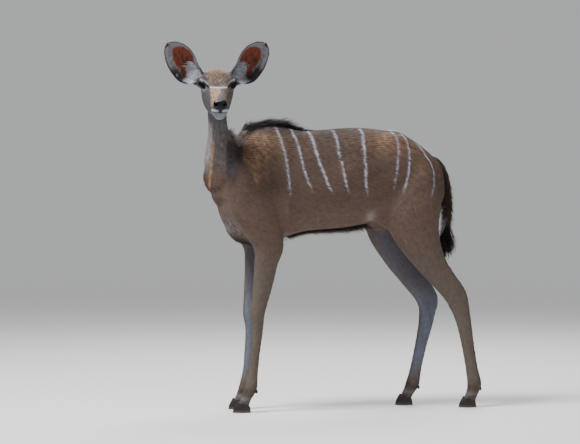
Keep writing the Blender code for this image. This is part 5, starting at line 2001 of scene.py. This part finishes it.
@dataclass
class Growth:
    """Tufts ready to be made: where each starts, how it lies, its sizes and its colours."""

    roots: Array
    facing: Array
    places: Array
    lie: Array
    bend: Array
    length: Array
    width: Array
    thick: Array
    hues: Array

    def only(self, chosen: Array) -> "Growth":
        """The chosen tufts."""
        return Growth(*[getattr(self, name)[chosen] for name in self.__dataclass_fields__])

    def mesh(self, name: str, shape: TuftShape) -> Object:
        """Makes one mesh of all the tufts.

        Args:
            name: The object's name.
            shape: The form that each tuft takes.

        Returns:
            The object, with its colours, its strands' map and its map of roots.
        """
        along = np.array(shape.along)[None, :, None]
        across = np.array(shape.across)[None, :, None]
        rise = np.array(shape.rise)[None, :, None]
        lie = self.lie[:, None]
        bend = self.bend[:, None]
        length = self.length[:, None, None]
        forward = unit(lie + 2 * bend * along)
        sideways = unit(np.cross(forward, self.facing[:, None]))
        upward = np.cross(sideways, forward)
        points = self.roots[:, None] + (lie * along + bend * along ** 2) * length
        points = points + sideways * across * self.width[:, None, None]
        points = points + upward * rise * self.thick[:, None, None]
        count, size = points.shape[:2]
        reach = along[0, :, 0] * (self.hues.shape[1] - 1)
        before = np.minimum(reach.astype(int), self.hues.shape[1] - 2)
        part = (reach - before)[None, :, None]
        hues = self.hues[:, before] * (1 - part) + self.hues[:, before + 1] * part
        strand = np.empty((count, size, 2), np.float32)
        strand[..., 0] = across[..., 0] + np.arange(count)[:, None] * 1.37 % 50
        strand[..., 1] = along[..., 0] * self.length[:, None]
        patch = np.empty((count, size, 2), np.float32)
        patch[..., 0] = self.places[:, :1] + across[..., 0] * 0.003
        patch[..., 1] = self.places[:, 1:] + (along[..., 0] - 0.5) * 0.003
        corners = np.concatenate([np.array(face) for face in shape.faces])
        starts = np.cumsum([0] + [len(face) for face in shape.faces])[:-1]
        base = np.arange(count)[:, None]
        mesh = bpy.data.meshes.new(name)
        mesh.vertices.add(count * size)
        mesh.vertices.foreach_set("co", points.astype(np.float32).ravel())
        loops = (base * size + corners).astype(np.int32).ravel()
        mesh.loops.add(len(loops))
        mesh.loops.foreach_set("vertex_index", loops)
        mesh.polygons.add(count * len(starts))
        mesh.polygons.foreach_set("loop_start", (base * len(corners) + starts).astype(np.int32).ravel())
        mesh.update(calc_edges=True)
        for layer, values in ((STRAND_MAP, strand), (COAT_MAP, np.clip(patch, 0.0, 1.0))):
            made = mesh.uv_layers.new(name=layer)
            made.uv.foreach_set("vector", values.reshape(-1, 2)[loops].ravel())
        item = bpy.data.objects.new(name, mesh)
        bpy.context.scene.collection.objects.link(item)
        Bench.attribute(item, HUE, np.clip(hues.reshape(-1, 3), 0.0, 1.0))
        mesh.shade_smooth()
        return item


@dataclass
class Lie:
    """The way the coat lies at each place, led by marks set over the body."""

    skin: Skin

    def __post_init__(self) -> None:
        """Sets the marks."""
        self.marks: list[tuple[Array, Array, float]] = []
        body = self.skin.body
        for x, top, bottom, width in body.trunk:
            rear = float(ease(0.30, 0.46, x))
            front = float(ease(-0.36, -0.46, x))
            slant = 0.42 + 1.6 * rear + 1.2 * front
            self.mark((x, 0, top), (1, 0, -0.10 - 0.8 * rear), 0.06)
            self.mark((x, 0, bottom), (1, 0, -0.15), 0.06)
            for sign in (-1, 1):
                self.mark((x, sign * width, (top + bottom) / 2), (1, 0, -slant), 0.09)
                self.mark((x, sign * width * 0.8, top - 0.07), (1, 0, -0.22 - rear), 0.07)
                self.mark((x, sign * width * 0.8, bottom + 0.07), (1, 0, -0.35 - rear), 0.07)
        for place in ((-0.50, 0, 0.95), (-0.47, 0, 0.82), (-0.42, 0, 0.76)):
            self.mark(place, (0.35, 0, -1.0), 0.07)
        middles, along, _ = body.neck_middles()
        for i in range(1, len(middles)):
            back = 0.20 if i < 4 else 0.05
            self.mark(middles[i], -along[i] + np.array([back, 0, 0]), 0.08)
        head = body.head
        for reach, top, low, width, _ in body.skull:
            self.mark(head.point(reach, 0, top), -head.ahead, 0.035)
            self.mark(head.point(reach, 0, low), -head.ahead, 0.035)
            for sign in (-1, 1):
                place = head.point(reach, sign * width, (top + low) / 2)
                self.mark(place, -head.ahead - head.up * 0.45 + head.left * sign * 0.12, 0.035)
        for leg in body.legs():
            for middle, down in zip(leg.middles(), leg.directions()):
                out = np.array([0, leg.side.value * 0.02, 0])
                self.mark(middle + out, down + np.array([0.12, 0, 0]), 0.07 if middle[2] > 0.7 else 0.05)

    def mark(self, place: Sequence[float], way: Sequence[float], reach: float) -> None:
        """Sets one mark, where the coat lies this way as far as its reach."""
        self.marks.append((np.array(place, float), unit(np.array(way, float)), reach))

    def at(self, points: Array, facing: Array) -> Array:
        """The way the coat lies at these places, flat on the skin.

        Args:
            points: Places, in the body's own frame.
            facing: The way the skin faces at each.

        Returns:
            One direction for each place.
        """
        places = np.array([mark[0] for mark in self.marks])
        ways = np.array([mark[1] for mark in self.marks])
        reaches = np.array([mark[2] for mark in self.marks])
        found = np.empty_like(points)
        for start in range(0, len(points), BATCH):
            part = points[start : start + BATCH]
            gaps = ((part[:, None] - places[None]) ** 2).sum(axis=2) / reaches ** 2
            pull = np.exp(-(gaps - gaps.min(axis=1, keepdims=True)))
            found[start : start + BATCH] = pull @ ways
        for ear in self.skin.ears:
            found = np.where(ear.belongs(points)[:, None], ear.axis, found)
        found = unit(found - facing * np.sum(found * facing, axis=1, keepdims=True))
        return found


@dataclass
class Coat:
    """All the hair: the short coat on every side, and the longer hair of mane, fringe, ears and tail."""

    skin: Skin
    ground: Ground
    markings: Markings
    lie: Lie
    cover: float = 1.55
    most: int = 32000

    def turned(self, ways: Array, facing: Array, angles: Array) -> Array:
        """Ways turned about the skin's own directions."""
        side = np.cross(facing, ways)
        return ways * np.cos(angles)[:, None] + side * np.sin(angles)[:, None]

    def sizes(self, points: Array) -> Pair:
        """How long and how wide the short tufts are at each place.

        Args:
            points: Places, in the body's own frame.

        Returns:
            The lengths and the widths.
        """
        near = self.skin.from_eyes(points)
        ahead = self.skin.body.head.local(points)[:, 0]
        z = points[:, 2]
        length = 0.0185 - 0.0070 * ease(0.78, 0.55, z) - 0.0015 * ease(0.30, 0.12, z)
        length = length + (0.0085 - length) * ease(0.27, 0.17, near)
        muzzle = ease(0.06, 0.14, ahead) * ease(0.26, 0.22, near)
        length = length + (0.0042 - length) * muzzle
        for ear in self.skin.ears:
            length = np.where(ear.belongs(points), 0.0085, length)
        for eye in self.skin.eyes:
            close = ease(0.050, 0.030, gap(points, eye.centre))
            length = length + (0.0038 - length) * close
        width = 0.00062 + length * 0.125
        return length, width

    def grows(self, points: Array, facing: Array) -> Array:
        """Where the short coat grows: not on bare leather, in the mouth or ears, or at the hooves.

        Args:
            points: Places, in the body's own frame.
            facing: The way the skin faces at each.

        Returns:
            How far it grows at each place, from 0 to 1.
        """
        found = 1 - ease(0.05, 0.4, self.markings.bare(points))
        for eye in self.skin.eyes:
            found = found * (gap(points, eye.centre) > eye.radius + 0.0016)
        for ear in self.skin.ears:
            inside = ear.belongs(points) & (facing @ ear.open_to > 0.12)
            found = found * ~inside
        ahead, left, up = self.skin.body.head.local(points).T
        mouth = (np.abs(up + 0.081) < 0.0026) & (ahead > 0.06)
        nostril = (ahead > 0.180) & (np.abs(np.abs(left) - 0.0180) < 0.006) & (np.abs(up + 0.046) < 0.009)
        found = found * ~mouth * ~nostril
        for leg in self.skin.body.legs():
            middle = leg.middle_at(leg.coronet)
            under = (points - middle) @ np.array([math.sin(leg.slope), 0, math.cos(leg.slope)])
            at_foot = np.linalg.norm((points - middle)[:, :2], axis=1) < 0.07
            found = found * ~(at_foot & (under < 0.0006) & (points[:, 2] < 0.08))
        return found

    def short(self) -> Growth:
        """The short coat over the whole body.

        Returns:
            The growth.
        """
        ground = self.ground
        length, width = self.sizes(ground.middles)
        density = self.cover / (length * width * 0.72) * self.grows(ground.middles, ground.outward)
        roots, facing, places = ground.sow(density, SEED)
        length, width = self.sizes(roots)
        draw = np.random.default_rng(SEED + 1)
        count = len(roots)
        ways = self.lie.at(roots, facing)
        swirl = 0.22 * mottle(roots, 0.060, 71) + 0.20 * mottle(roots, 0.014, 72) + draw.normal(0, 0.10, count)
        ways = self.turned(ways, facing, swirl)
        shade = np.clip(1 + 0.10 * mottle(roots, 0.011, 73) + draw.normal(0, 0.12, count), 0.5, 1.6)
        hues = [
            self.markings.hue(roots + ways * (share * length)[:, None], facing) * (light * shade)[:, None]
            for share, light in ((0.0, 0.78), (0.5, 0.98), (1.0, 1.20))
        ]
        lift = 0.075 + 0.05 * np.clip(mottle(roots, 0.011, 74), -0.5, 1) + draw.uniform(0, 0.05, count)
        lie = unit(ways + facing * lift[:, None])
        bend = -facing * (0.5 * lift)[:, None]
        length = length * draw.uniform(0.75, 1.2, count)
        return Growth(
            roots - facing * 0.0004,
            facing,
            places,
            lie,
            bend,
            length,
            width * draw.uniform(0.8, 1.2, count),
            width * 0.30,
            np.stack(hues, axis=1),
        )

    def pieces(self, growth: Growth, name: str, shape: TuftShape) -> list[Object]:
        """Makes the growth as several pieces, none of them too large.

        Args:
            growth: The tufts.
            name: What the pieces are called, before their numbers.
            shape: The form that each tuft takes.

        Returns:
            The pieces.
        """
        parts = max(1, math.ceil(len(growth.roots) / self.most))
        bounds = np.linspace(0, len(growth.roots), parts + 1).astype(int)
        found = []
        for index, (start, end) in enumerate(zip(bounds, bounds[1:])):
            found.append(growth.only(np.arange(start, end)).mesh(f"{name}_{index + 1}", shape))
        return found

    def long(
        self,
        where: Array,
        seed: int,
        way: Callable[[Array, Array], Pair],
        length: float | Callable[[Array], Array],
        width: float,
        hues: tuple[Colour, Colour] | None,
        ragged: float = 0.25,
    ) -> Growth:
        """Longer hair on part of the skin.

        Args:
            where: Roots a square metre on each triangle of the ground.
            seed: Which of the possible spreads it is.
            way: Gives the lie and the bend at places that face some way.
            length: The length, or what gives it at places.
            width: A lock's width.
            hues: The colours at its root and its tip, or none for the markings' own.
            ragged: How unlike each other the locks are.

        Returns:
            The growth.
        """
        roots, facing, places = self.ground.sow(where, seed)
        draw = np.random.default_rng(seed + 1)
        count = len(roots)
        lie, bend = way(roots, facing)
        lie = unit(lie + draw.normal(0, ragged * 0.45, (count, 3)))
        bend = bend + draw.normal(0, ragged * 0.22, (count, 3))
        shade = np.clip(1 + draw.normal(0, 0.22, count), 0.4, 1.8)[:, None]
        sizes = (length(roots) if callable(length) else length) * draw.uniform(1 - ragged, 1 + ragged, count)
        if hues is None:
            own = self.markings.hue(roots, facing)
            ends = np.stack([own * 0.85, own * 1.20], axis=1)
        else:
            ends = np.tile(np.array(hues), (count, 1, 1))
        return Growth(
            roots - facing * 0.001,
            facing,
            places,
            lie,
            bend,
            sizes,
            width * draw.uniform(0.7, 1.3, count),
            width * 0.34 * draw.uniform(0.7, 1.3, count),
            ends * shade[:, None],
        )

    def crest(self) -> list[Growth]:
        """The dark mane of the withers, which sweeps back, with a pale tuft in front of it.

        Returns:
            The mane and the tuft.
        """
        middles, outward = self.ground.middles, self.ground.outward
        x, y, z = middles.T
        reach = ease(-0.412, -0.388, x) * ease(-0.070, -0.17, x)
        where = 110000 * reach * (np.abs(y) < 0.018) * (outward[:, 2] > 0.45)
        front = ease(-0.470, -0.450, x) * ease(-0.385, -0.405, x) * (np.abs(y) < 0.045)
        front = front * (outward[:, 2] > 0.15) * (z > 1.10)

        def way(points: Array, facing: Array) -> Pair:
            """Back and up, steeper in front, and out to the sides."""
            steep = (0.26 + 0.36 * ease(-0.355, -0.400, points[:, 0]))[:, None]
            back = np.array([1.0, 0.0, 0.0]) * (1 - steep) + np.array([0.0, 0.0, 1.0]) * steep
            out = np.stack([points[:, 0] * 0, points[:, 1] * 9, points[:, 1] * 0], axis=1)
            return unit(back + out), np.array([0.22, 0.0, -0.16])

        def length(points: Array) -> Array:
            """Longer in front, with a few long wisps."""
            wisp = 1 + 0.30 * ease(0.5, 1.0, mottle(points, 0.012, 91)) * ease(-0.33, -0.37, points[:, 0])
            return 0.056 * (0.35 + 0.65 * ease(-0.09, -0.30, points[:, 0])) * wisp

        def front_way(points: Array, facing: Array) -> Pair:
            """Up and back."""
            return unit(facing * 0.20 + [0.40, 0.0, 0.72]), np.array([0.24, 0.0, -0.10])

        def front_length(points: Array) -> Array:
            """Longest in the middle."""
            return 0.020 + 0.012 * ease(0.030, 0.0, np.abs(points[:, 1]))

        black = ((0.006, 0.005, 0.005), (0.016, 0.012, 0.011))
        tawny = ((0.100, 0.078, 0.062), (0.270, 0.232, 0.200))
        return [
            self.long(where, 101, way, length, 0.0034, black, 0.42),
            self.long(56000 * front, 105, front_way, front_length, 0.0026, tawny, 0.38),
        ]

    def nape(self) -> Growth:
        """The short mane down the back of the neck.

        Returns:
            The growth.
        """
        centres, along, throat = self.skin.body.neck_middles()
        middles, outward = self.ground.middles, self.ground.outward

        def nearest(points: Array) -> Array:
            """Which of the neck's middle points is nearest."""
            gaps = np.linalg.norm(points[:, None] - centres[None, 1:6], axis=2)
            return gaps.argmin(axis=1) + 1

        near = nearest(middles)
        behind = np.sum(outward * -throat[near], axis=1)
        on_neck = gap(middles, centres[near]) < 0.15
        head_side = ease(0.115, 0.145, self.skin.from_eyes(middles))
        where = 60000 * ease(0.86, 0.95, behind) * on_neck * head_side * ease(1.10, 1.15, middles[:, 2])

        def way(points: Array, facing: Array) -> Pair:
            """Down the neck, and off the back of it."""
            index = nearest(points)
            lie = unit(-throat[index] * 0.34 - along[index] * 0.92)
            return lie, -along[index] * 0.12 + throat[index] * 0.12

        return self.long(where, 111, way, 0.036, 0.0026, ((0.060, 0.042, 0.030), (0.200, 0.125, 0.075)), 0.30)

    def fringe(self) -> Growth:
        """The dark fringe under the belly and the brisket.

        Returns:
            The growth.
        """
        middles, outward = self.ground.middles, self.ground.outward
        x, y, z = middles.T
        belly = ease(-0.205, -0.185, x) * ease(0.165, 0.135, x) * (np.abs(y) < 0.024) * (outward[:, 2] < -0.6)
        brisket = ease(-0.47, -0.44, x) * ease(-0.20, -0.24, x) * (np.abs(y) < 0.022) * (outward[:, 2] < -0.5)
        where = (95000 * belly + 45000 * brisket) * (z > 0.68)

        def way(points: Array, facing: Array) -> Pair:
            """Down and back, and a little out to the sides."""
            lie = points * [0, 6, 0] + [0.56, 0.0, -0.80]
            return unit(lie), np.array([0.24, 0.0, 0.14])

        def length(points: Array) -> Array:
            """Longer towards the hind legs."""
            full = 0.021 + 0.013 * ease(-0.18, 0.14, points[:, 0])
            return full * (1 - 0.15 * ease(-0.20, -0.26, points[:, 0]))

        return self.long(where, 121, way, length, 0.0026, ((0.014, 0.009, 0.007), (0.050, 0.030, 0.019)), 0.38)

    def tail(self) -> list[Growth]:
        """The long hair down the tail, white under it, and its black tuft.

        Returns:
            The brown, the white and the black growth.
        """
        middles, outward = self.ground.middles, self.ground.outward
        x, y, z = middles.T
        on_dock = (x > 0.500) & (np.abs(y) < 0.030) & (z > 0.70) & (z < 1.06)
        upper = on_dock & (z > 0.79)
        back = outward[:, 0] > -0.2

        def fall(points: Array, facing: Array) -> Pair:
            """Down the dock, and a little off it."""
            front = ease(0.2, -0.6, facing[:, :1])
            lie = facing * [0.36, 0.30, 0.0] + [0.02, 0.0, -1.0] + front * [-0.55, 0.0, 0.0]
            bend = facing * [-0.10, -0.08, 0.0]
            return unit(lie), bend

        def hang(points: Array, facing: Array) -> Pair:
            """Down, in a narrow tuft."""
            lie = facing * [0.42, 0.34, 0.0] + [0.06, 0.0, -1.0]
            bend = facing * [-0.20, -0.16, 0.0] + [-0.06, 0.0, 0.0]
            return unit(lie), bend

        def medium(points: Array) -> Array:
            """Longer further down."""
            return 0.026 + 0.014 * ease(1.05, 0.90, points[:, 2])

        def tuft(points: Array) -> Array:
            """Longer where the tuft starts."""
            return 0.098 + 0.010 * ease(0.74, 0.82, points[:, 2])

        brown = ((0.022, 0.013, 0.010), (0.075, 0.044, 0.029))
        white = ((0.160, 0.150, 0.150), (0.330, 0.330, 0.340))
        black = ((0.005, 0.004, 0.004), (0.012, 0.009, 0.008))
        under = ~back & (z < 0.85)
        return [
            self.long(80000 * upper * ~under, 131, fall, medium, 0.0024, brown, 0.34),
            self.long(70000 * upper * under, 133, fall, medium, 0.0022, white, 0.30),
            self.long(180000 * (on_dock & (z < 0.80)), 135, hang, tuft, 0.0030, black, 0.28),
        ]

    def ear_hair(self) -> list[Growth]:
        """The pale hair inside the ears' margins, and the short fringe along their edges.

        Returns:
            Four growths for each ear.
        """
        found = []
        downy = ((0.200, 0.200, 0.220), (0.420, 0.430, 0.470))
        middles, outward = self.ground.middles, self.ground.outward
        for number, ear in enumerate(self.skin.ears):
            share, across, _ = ear.local(middles)
            inside = ear.belongs(middles) & (outward @ ear.open_to > 0.05)
            fan = inside * ease(1.15, 0.85, oval(share, across, *ear.fan)) * ease(0.03, 0.08, share)
            dark = (across > 0.56) & (share > 0.16) & (share < 0.56)
            margin = np.maximum(ease(0.45, 0.60, across), ease(0.80, 0.86, share))
            margin = inside * margin * ~dark * (share > 0.10)
            lining = inside * (1 - np.clip(fan + margin, 0, 1)) * (share > 0.12)
            edge = ear.belongs(middles) * (np.abs(across) > 0.90) * (share > 0.16)

            def inward(points: Array, facing: Array, ear: Ear = ear) -> Pair:
                along = ear.axis * 0.50 + ear.outward * 0.80 + ear.open_to * 0.12
                return unit(along), ear.axis * 0.20 - ear.open_to * 0.10

            def upward(points: Array, facing: Array, ear: Ear = ear) -> Pair:
                along = ear.axis * 0.90 - ear.outward * 0.30
                return unit(along + facing * 0.16), -ear.outward * 0.12

            def outward_way(points: Array, facing: Array, ear: Ear = ear) -> Pair:
                _, place, _ = ear.local(points)
                side = np.sign(place)[:, None] * ear.outward
                return unit(ear.axis * 0.95 + side * 0.22 + facing * 0.12), -side * 0.12

            seed = 141 + 20 * number
            found.append(self.long(110000 * fan, seed, inward, 0.019, 0.0012, downy, 0.22))
            found.append(self.long(130000 * margin, seed + 4, upward, 0.0075, 0.0011, None, 0.25))
            found.append(self.long(80000 * lining, seed + 6, upward, 0.0075, 0.0011, None, 0.25))
            found.append(self.long(170000 * edge, seed + 8, outward_way, 0.0032, 0.0010, None, 0.25))
        return found

    def lashes(self) -> Growth:
        """The lashes of the upper lids, and a few of the lower.

        Returns:
            The growth.
        """
        draw = np.random.default_rng(181)
        roots, lies, bends, lengths = [], [], [], []
        for eye in self.skin.eyes:
            for low, high, count, length in ((0.06, 0.80, 70, 0.0085), (1.20, 1.80, 14, 0.0035)):
                angles = np.pi * (low + (high - low) * (np.arange(count) + draw.uniform(0, 1, count)) / count)
                edge = eye.almond(angles, 0.0, 1.03)
                flat = edge - eye.centre
                out = np.sqrt(np.maximum((eye.radius + 0.0022) ** 2 - np.sum(flat ** 2, axis=1), 1e-6))
                roots.append(edge + eye.gaze * out[:, None])
                spread = unit(flat)
                lies.append(unit(spread * 0.55 + eye.gaze * 0.85))
                bends.append(spread * 0.28)
                lengths.append(length * draw.uniform(0.7, 1.15, count))
        root, lie, bend, size = np.vstack(roots), np.vstack(lies), np.vstack(bends), np.concatenate(lengths)
        count = len(root)
        facing = unit(np.cross(lie, self.skin.body.head.up) + draw.normal(0, 0.1, (count, 3)))
        dark = np.tile([0.010, 0.008, 0.008], (count, 1))
        places = np.tile([0.5, 0.5], (count, 1)) + draw.uniform(-0.01, 0.01, (count, 2))
        width = np.full(count, 0.00075)
        return Growth(root, facing, places, lie, bend, size, width, width, np.stack([dark, dark * 1.3], axis=1))


# ---- Eyes and hooves ----


@dataclass
class Eye:
    """One eye, with a clear bulge over its iris."""

    socket: EyeSocket
    shift: Array

    @property
    def node(self) -> str:
        """The solid that it takes the place of."""
        return "eye_left" if self.socket.sign > 0 else "eye_right"

    def make(self) -> Object:
        """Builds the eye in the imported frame.

        Returns:
            The finished eye.
        """
        socket = self.socket
        eye = socket.ball(self.node + "_ball", socket.radius, 64)
        points = Bench.points(eye)
        away = unit(points - socket.centre)
        facing = away @ socket.gaze
        bulge = 0.0010 * ease(0.74, 0.95, facing)
        Bench.set_points(eye, points + away * bulge[:, None] + self.shift)
        eye.data.shade_smooth()
        frame_rows = (socket.centre + self.shift, socket.gaze, socket.across, socket.up)
        finish = EyeFinish(self.node + "_finish", *[tuple(row.tolist()) for row in frame_rows], socket.radius)
        eye.data.materials.clear()
        eye.data.materials.append(finish.make())
        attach(eye, "root")
        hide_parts(self.node)
        return eye


@dataclass
class Hoof:
    """The two claws of a foot, and the small ones behind its fetlock."""

    leg: Leg
    toe: float = 0.050
    heel: float = 0.028
    width: float = 0.0265
    split: float = 0.0024
    outline: Line = (
        (1.00, 0.14), (0.86, 0.44), (0.62, 0.72), (0.30, 0.93), (-0.15, 1.00), (-0.60, 0.92),
        (-0.88, 0.64), (-1.00, 0.20), (-0.90, 0.00), (-0.20, 0.00), (0.50, 0.00), (0.90, 0.00),
    )
    levels: Line = (
        (0.000, 0.985, 0.985, 0.930), (0.035, 1.000, 1.000, 0.965), (0.300, 0.930, 1.000, 1.000),
        (0.620, 0.760, 0.930, 0.995), (0.900, 0.610, 0.880, 0.985), (1.000, 0.560, 0.850, 0.930),
    )

    def ring(self) -> Array:
        """The claw's outline with rounder corners."""
        rows = np.array(self.outline)
        smooth = refined(np.vstack([rows, rows[:1]]), 3)[:-1]
        smooth[:, 1] = np.maximum(smooth[:, 1], 0.0)
        return smooth

    def claw(self, outer: float) -> Object:
        """One claw, its sole flat on the floor.

        Args:
            outer: The sign of Y on the side of the foot where it is.

        Returns:
            The claw.
        """
        middle = self.leg.middle_at(self.leg.coronet)
        slope = math.tan(self.leg.slope)
        outline = self.ring()
        loops = []
        for level, toe, heel, wide in self.levels:
            reach = np.where(outline[:, 0] > 0, self.toe * toe, self.heel * heel)
            x = middle[0] - outline[:, 0] * reach
            y = self.leg.foot_side + outer * (self.split / 2 + self.width * wide * outline[:, 1])
            top = self.leg.coronet - slope * (x - middle[0]) - 0.0004
            loops.append(np.stack([x, y, top * level], axis=1))
        return Bench.from_loops("claw", loops)

    def spur(self, outer: float) -> Object:
        """One small hanging claw.

        Args:
            outer: The sign of Y on the side of the foot where it is.

        Returns:
            The small claw.
        """
        fetlock = 13 if self.leg.kind is LegKind.FORE else 9
        x, z, _, aft, _ = self.leg.rows[fetlock]
        centre = np.array([x + aft * 0.74, self.leg.foot_side + outer * 0.0120, z - 0.016])
        down = unit(np.array([0.30, outer * 0.12, -0.94]))
        back = unit(np.cross(down, [0, 1, 0]))
        item = Bench.ball("spur", centre, (back, np.cross(down, back), down), (0.0066, 0.0066, 0.0118), 18)
        points = Bench.points(item)
        low = ease(0.0, 0.015, (points - centre) @ down)
        drawn = centre + ((points - centre) @ down)[:, None] * down
        Bench.set_points(item, points + (drawn - points) * (0.30 * low)[:, None])
        return item

    def make(self, shift: Array, finish: Material) -> Object:
        """Builds the foot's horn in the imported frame.

        Args:
            shift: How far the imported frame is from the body's own.
            finish: The horn.

        Returns:
            The finished foot.
        """
        sign = float(self.leg.side.value)
        pieces = [self.claw(sign), self.claw(-sign), self.spur(sign), self.spur(-sign)]
        item = Bench.join(pieces, self.leg.name + "_hoof")
        Bench.apply(item, "BEVEL", width=0.0012, segments=2, limit_method="ANGLE", angle_limit=math.radians(50))
        Bench.alone(item)
        bpy.ops.object.shade_smooth_by_angle(angle=math.radians(40))
        Bench.finish(item, finish, shift)
        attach(item, "root")
        places = ("claw_outer", "claw_inner", "dewclaw_outer", "dewclaw_inner")
        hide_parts(*[f"{self.leg.name}_{place}" for place in places])
        return item


# ---- The whole animal and the studio ----


@dataclass
class Kudu:
    """The whole animal."""

    body: Body = field(default_factory=Body)

    def shift(self) -> Array:
        """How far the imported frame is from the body's own, read from the eyes' boxes."""
        corners = np.array([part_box(node) for node in ("eye_left", "eye_right")])
        return corners.mean(axis=(0, 1)) - np.array(self.body.head.eyes_middle)

    def flesh_nodes(self) -> list[str]:
        """The solids that the skin takes the place of."""
        found = ["torso_front", "torso_middle", "torso_rear", "neck", "head", "ear_left", "ear_right", "tail"]
        for leg in self.body.legs():
            found.extend(f"{leg.name}_{part}" for part in ("upper", "cannon", "pastern"))
        return found

    def make(self) -> None:
        """Builds every piece, and reports each."""
        shift = self.shift()
        LOG.info("the body's frame is shifted by %s", np.round(shift, 4))
        maker = Skin(self.body)
        skin = maker.make()
        markings = Markings(maker)
        ground = Ground(skin)
        LOG.info("unwrapped the skin: %.3f square metres", ground.areas.sum())
        points, normals = Bench.points(skin), Bench.normals(skin)
        Bench.attribute(skin, HUE, markings.hue(points, normals))
        Bench.attribute(skin, BARE, markings.bare(points))
        coat = Coat(maker, ground, markings, Lie(maker))
        fur = HairFinish("kudu_fur", 0.66, 3.0, 0.0002).make()
        long_hair = HairFinish("kudu_long_hair", 0.52, 5.0, 0.0003).make()
        pieces = coat.pieces(coat.short(), "coat", TuftShape.blade())
        self.dress(pieces, fur, shift)
        groups = {
            "mane": [*coat.crest(), coat.nape()],
            "fringe": [coat.fringe()],
            "tail_hair": coat.tail(),
            "ear_hair": coat.ear_hair(),
            "lashes": [coat.lashes()],
        }
        for name, growths in groups.items():
            rings = 3 if name in ("ear_hair", "lashes") else 6
            parts = []
            for index, growth in enumerate(growths):
                parts.extend(coat.pieces(growth, f"{name}_{index + 1}", TuftShape.lock(rings)))
            self.dress([Bench.join(parts, name)], long_hair, shift)
        self.finish_skin(skin, shift)
        for socket in maker.eyes:
            eye = Eye(socket, shift).make()
            LOG.info("%s: %d faces", eye.name, len(eye.data.polygons))
        horn = HornFinish().make()
        for leg in self.body.legs():
            hoof = Hoof(leg).make(shift, horn)
            LOG.info("%s: %d faces", hoof.name, len(hoof.data.polygons))

    def finish_skin(self, skin: Object, shift: Array) -> None:
        """Dresses the skin and puts it in the place of the solids."""
        Bench.finish(skin, HideFinish().make(), shift)
        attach(skin, "root")
        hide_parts(*self.flesh_nodes())

    def dress(self, pieces: list[Object], finish: Material, shift: Array) -> None:
        """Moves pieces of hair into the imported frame, and gives them their finish."""
        for piece in pieces:
            Bench.finish(piece, finish, shift)
            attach(piece, "root")
            LOG.info("%s: %d triangles", piece.name, sum(len(p.vertices) - 2 for p in piece.data.polygons))


@dataclass
class Studio:
    """A pale floor, soft light, and the camera at the photograph's angle."""

    aim: Row = (-0.1786, 0.0, 0.816)
    azimuth: float = math.radians(-15.0)
    elevation: float = math.radians(2.0)
    distance: float = 14.0
    lens: float = 200.2
    floor_reach: float = 60.0
    lamps: tuple[tuple[str, Row, float, float], ...] = (
        ("key", (-2.4, 1.8, 4.6), 1.8, 620.0),
        ("fill", (3.2, 3.4, 1.6), 3.4, 50.0),
        ("rim", (1.2, -3.4, 3.6), 2.2, 190.0),
    )

    def make(self, shift: Array) -> None:
        """Sets up the studio round the animal.

        Args:
            shift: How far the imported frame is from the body's own.
        """
        aim = Vector(np.array(self.aim) + shift)
        flat = math.cos(self.elevation)
        back = Vector((math.sin(self.azimuth) * flat, -math.cos(self.azimuth) * flat, math.sin(self.elevation)))
        data = bpy.data.cameras.new("camera")
        data.lens = self.lens
        data.clip_end = 200.0
        camera = bpy.data.objects.new("camera", data)
        bpy.context.scene.collection.objects.link(camera)
        camera.location = aim + back * self.distance
        camera.rotation_euler = (-back).to_track_quat("-Z", "Y").to_euler()
        bpy.context.scene.camera = camera
        self.floor()
        right = Vector((math.cos(self.azimuth), math.sin(self.azimuth), 0))
        towards = Vector((math.sin(self.azimuth), -math.cos(self.azimuth), 0))
        for name, (across, near, high), size, power in self.lamps:
            self.lamp(name, aim, right * across + towards * near + Vector((0, 0, high)), size, power)
        world = bpy.data.worlds.new("studio")
        world.use_nodes = True
        shade = world.node_tree.nodes["Background"]
        shade.inputs["Color"].default_value = (0.93, 0.94, 0.96, 1.0)
        shade.inputs["Strength"].default_value = 0.50
        bpy.context.scene.world = world

    def floor(self) -> None:
        """The floor, a wide disc."""
        bpy.ops.object.select_all(action="DESELECT")
        bpy.ops.mesh.primitive_circle_add(vertices=96, radius=self.floor_reach, fill_type="NGON")
        floor = bpy.context.active_object
        floor.name = "studio_floor"
        floor.data.materials.append(FloorFinish().make())

    def lamp(self, name: str, aim: Vector, away: Vector, size: float, power: float) -> None:
        """A soft square lamp that points at the animal.

        Args:
            name: What it is called.
            aim: The point it looks at.
            away: How far from there it stands.
            size: Its width, in metres.
            power: Its power, in watts.
        """
        data = bpy.data.lights.new(name, "AREA")
        data.size = size
        data.energy = power
        lamp = bpy.data.objects.new(name, data)
        bpy.context.scene.collection.objects.link(lamp)
        lamp.location = aim + away
        lamp.rotation_euler = (-away).to_track_quat("-Z", "Y").to_euler()


def main() -> None:
    """Builds the animal and the studio."""
    logging.basicConfig(level=logging.INFO, format="%(name)s: %(message)s")
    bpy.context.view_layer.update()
    kudu = Kudu()
    kudu.make()
    Studio().make(kudu.shift())


if __name__ == "__main__":
    main()
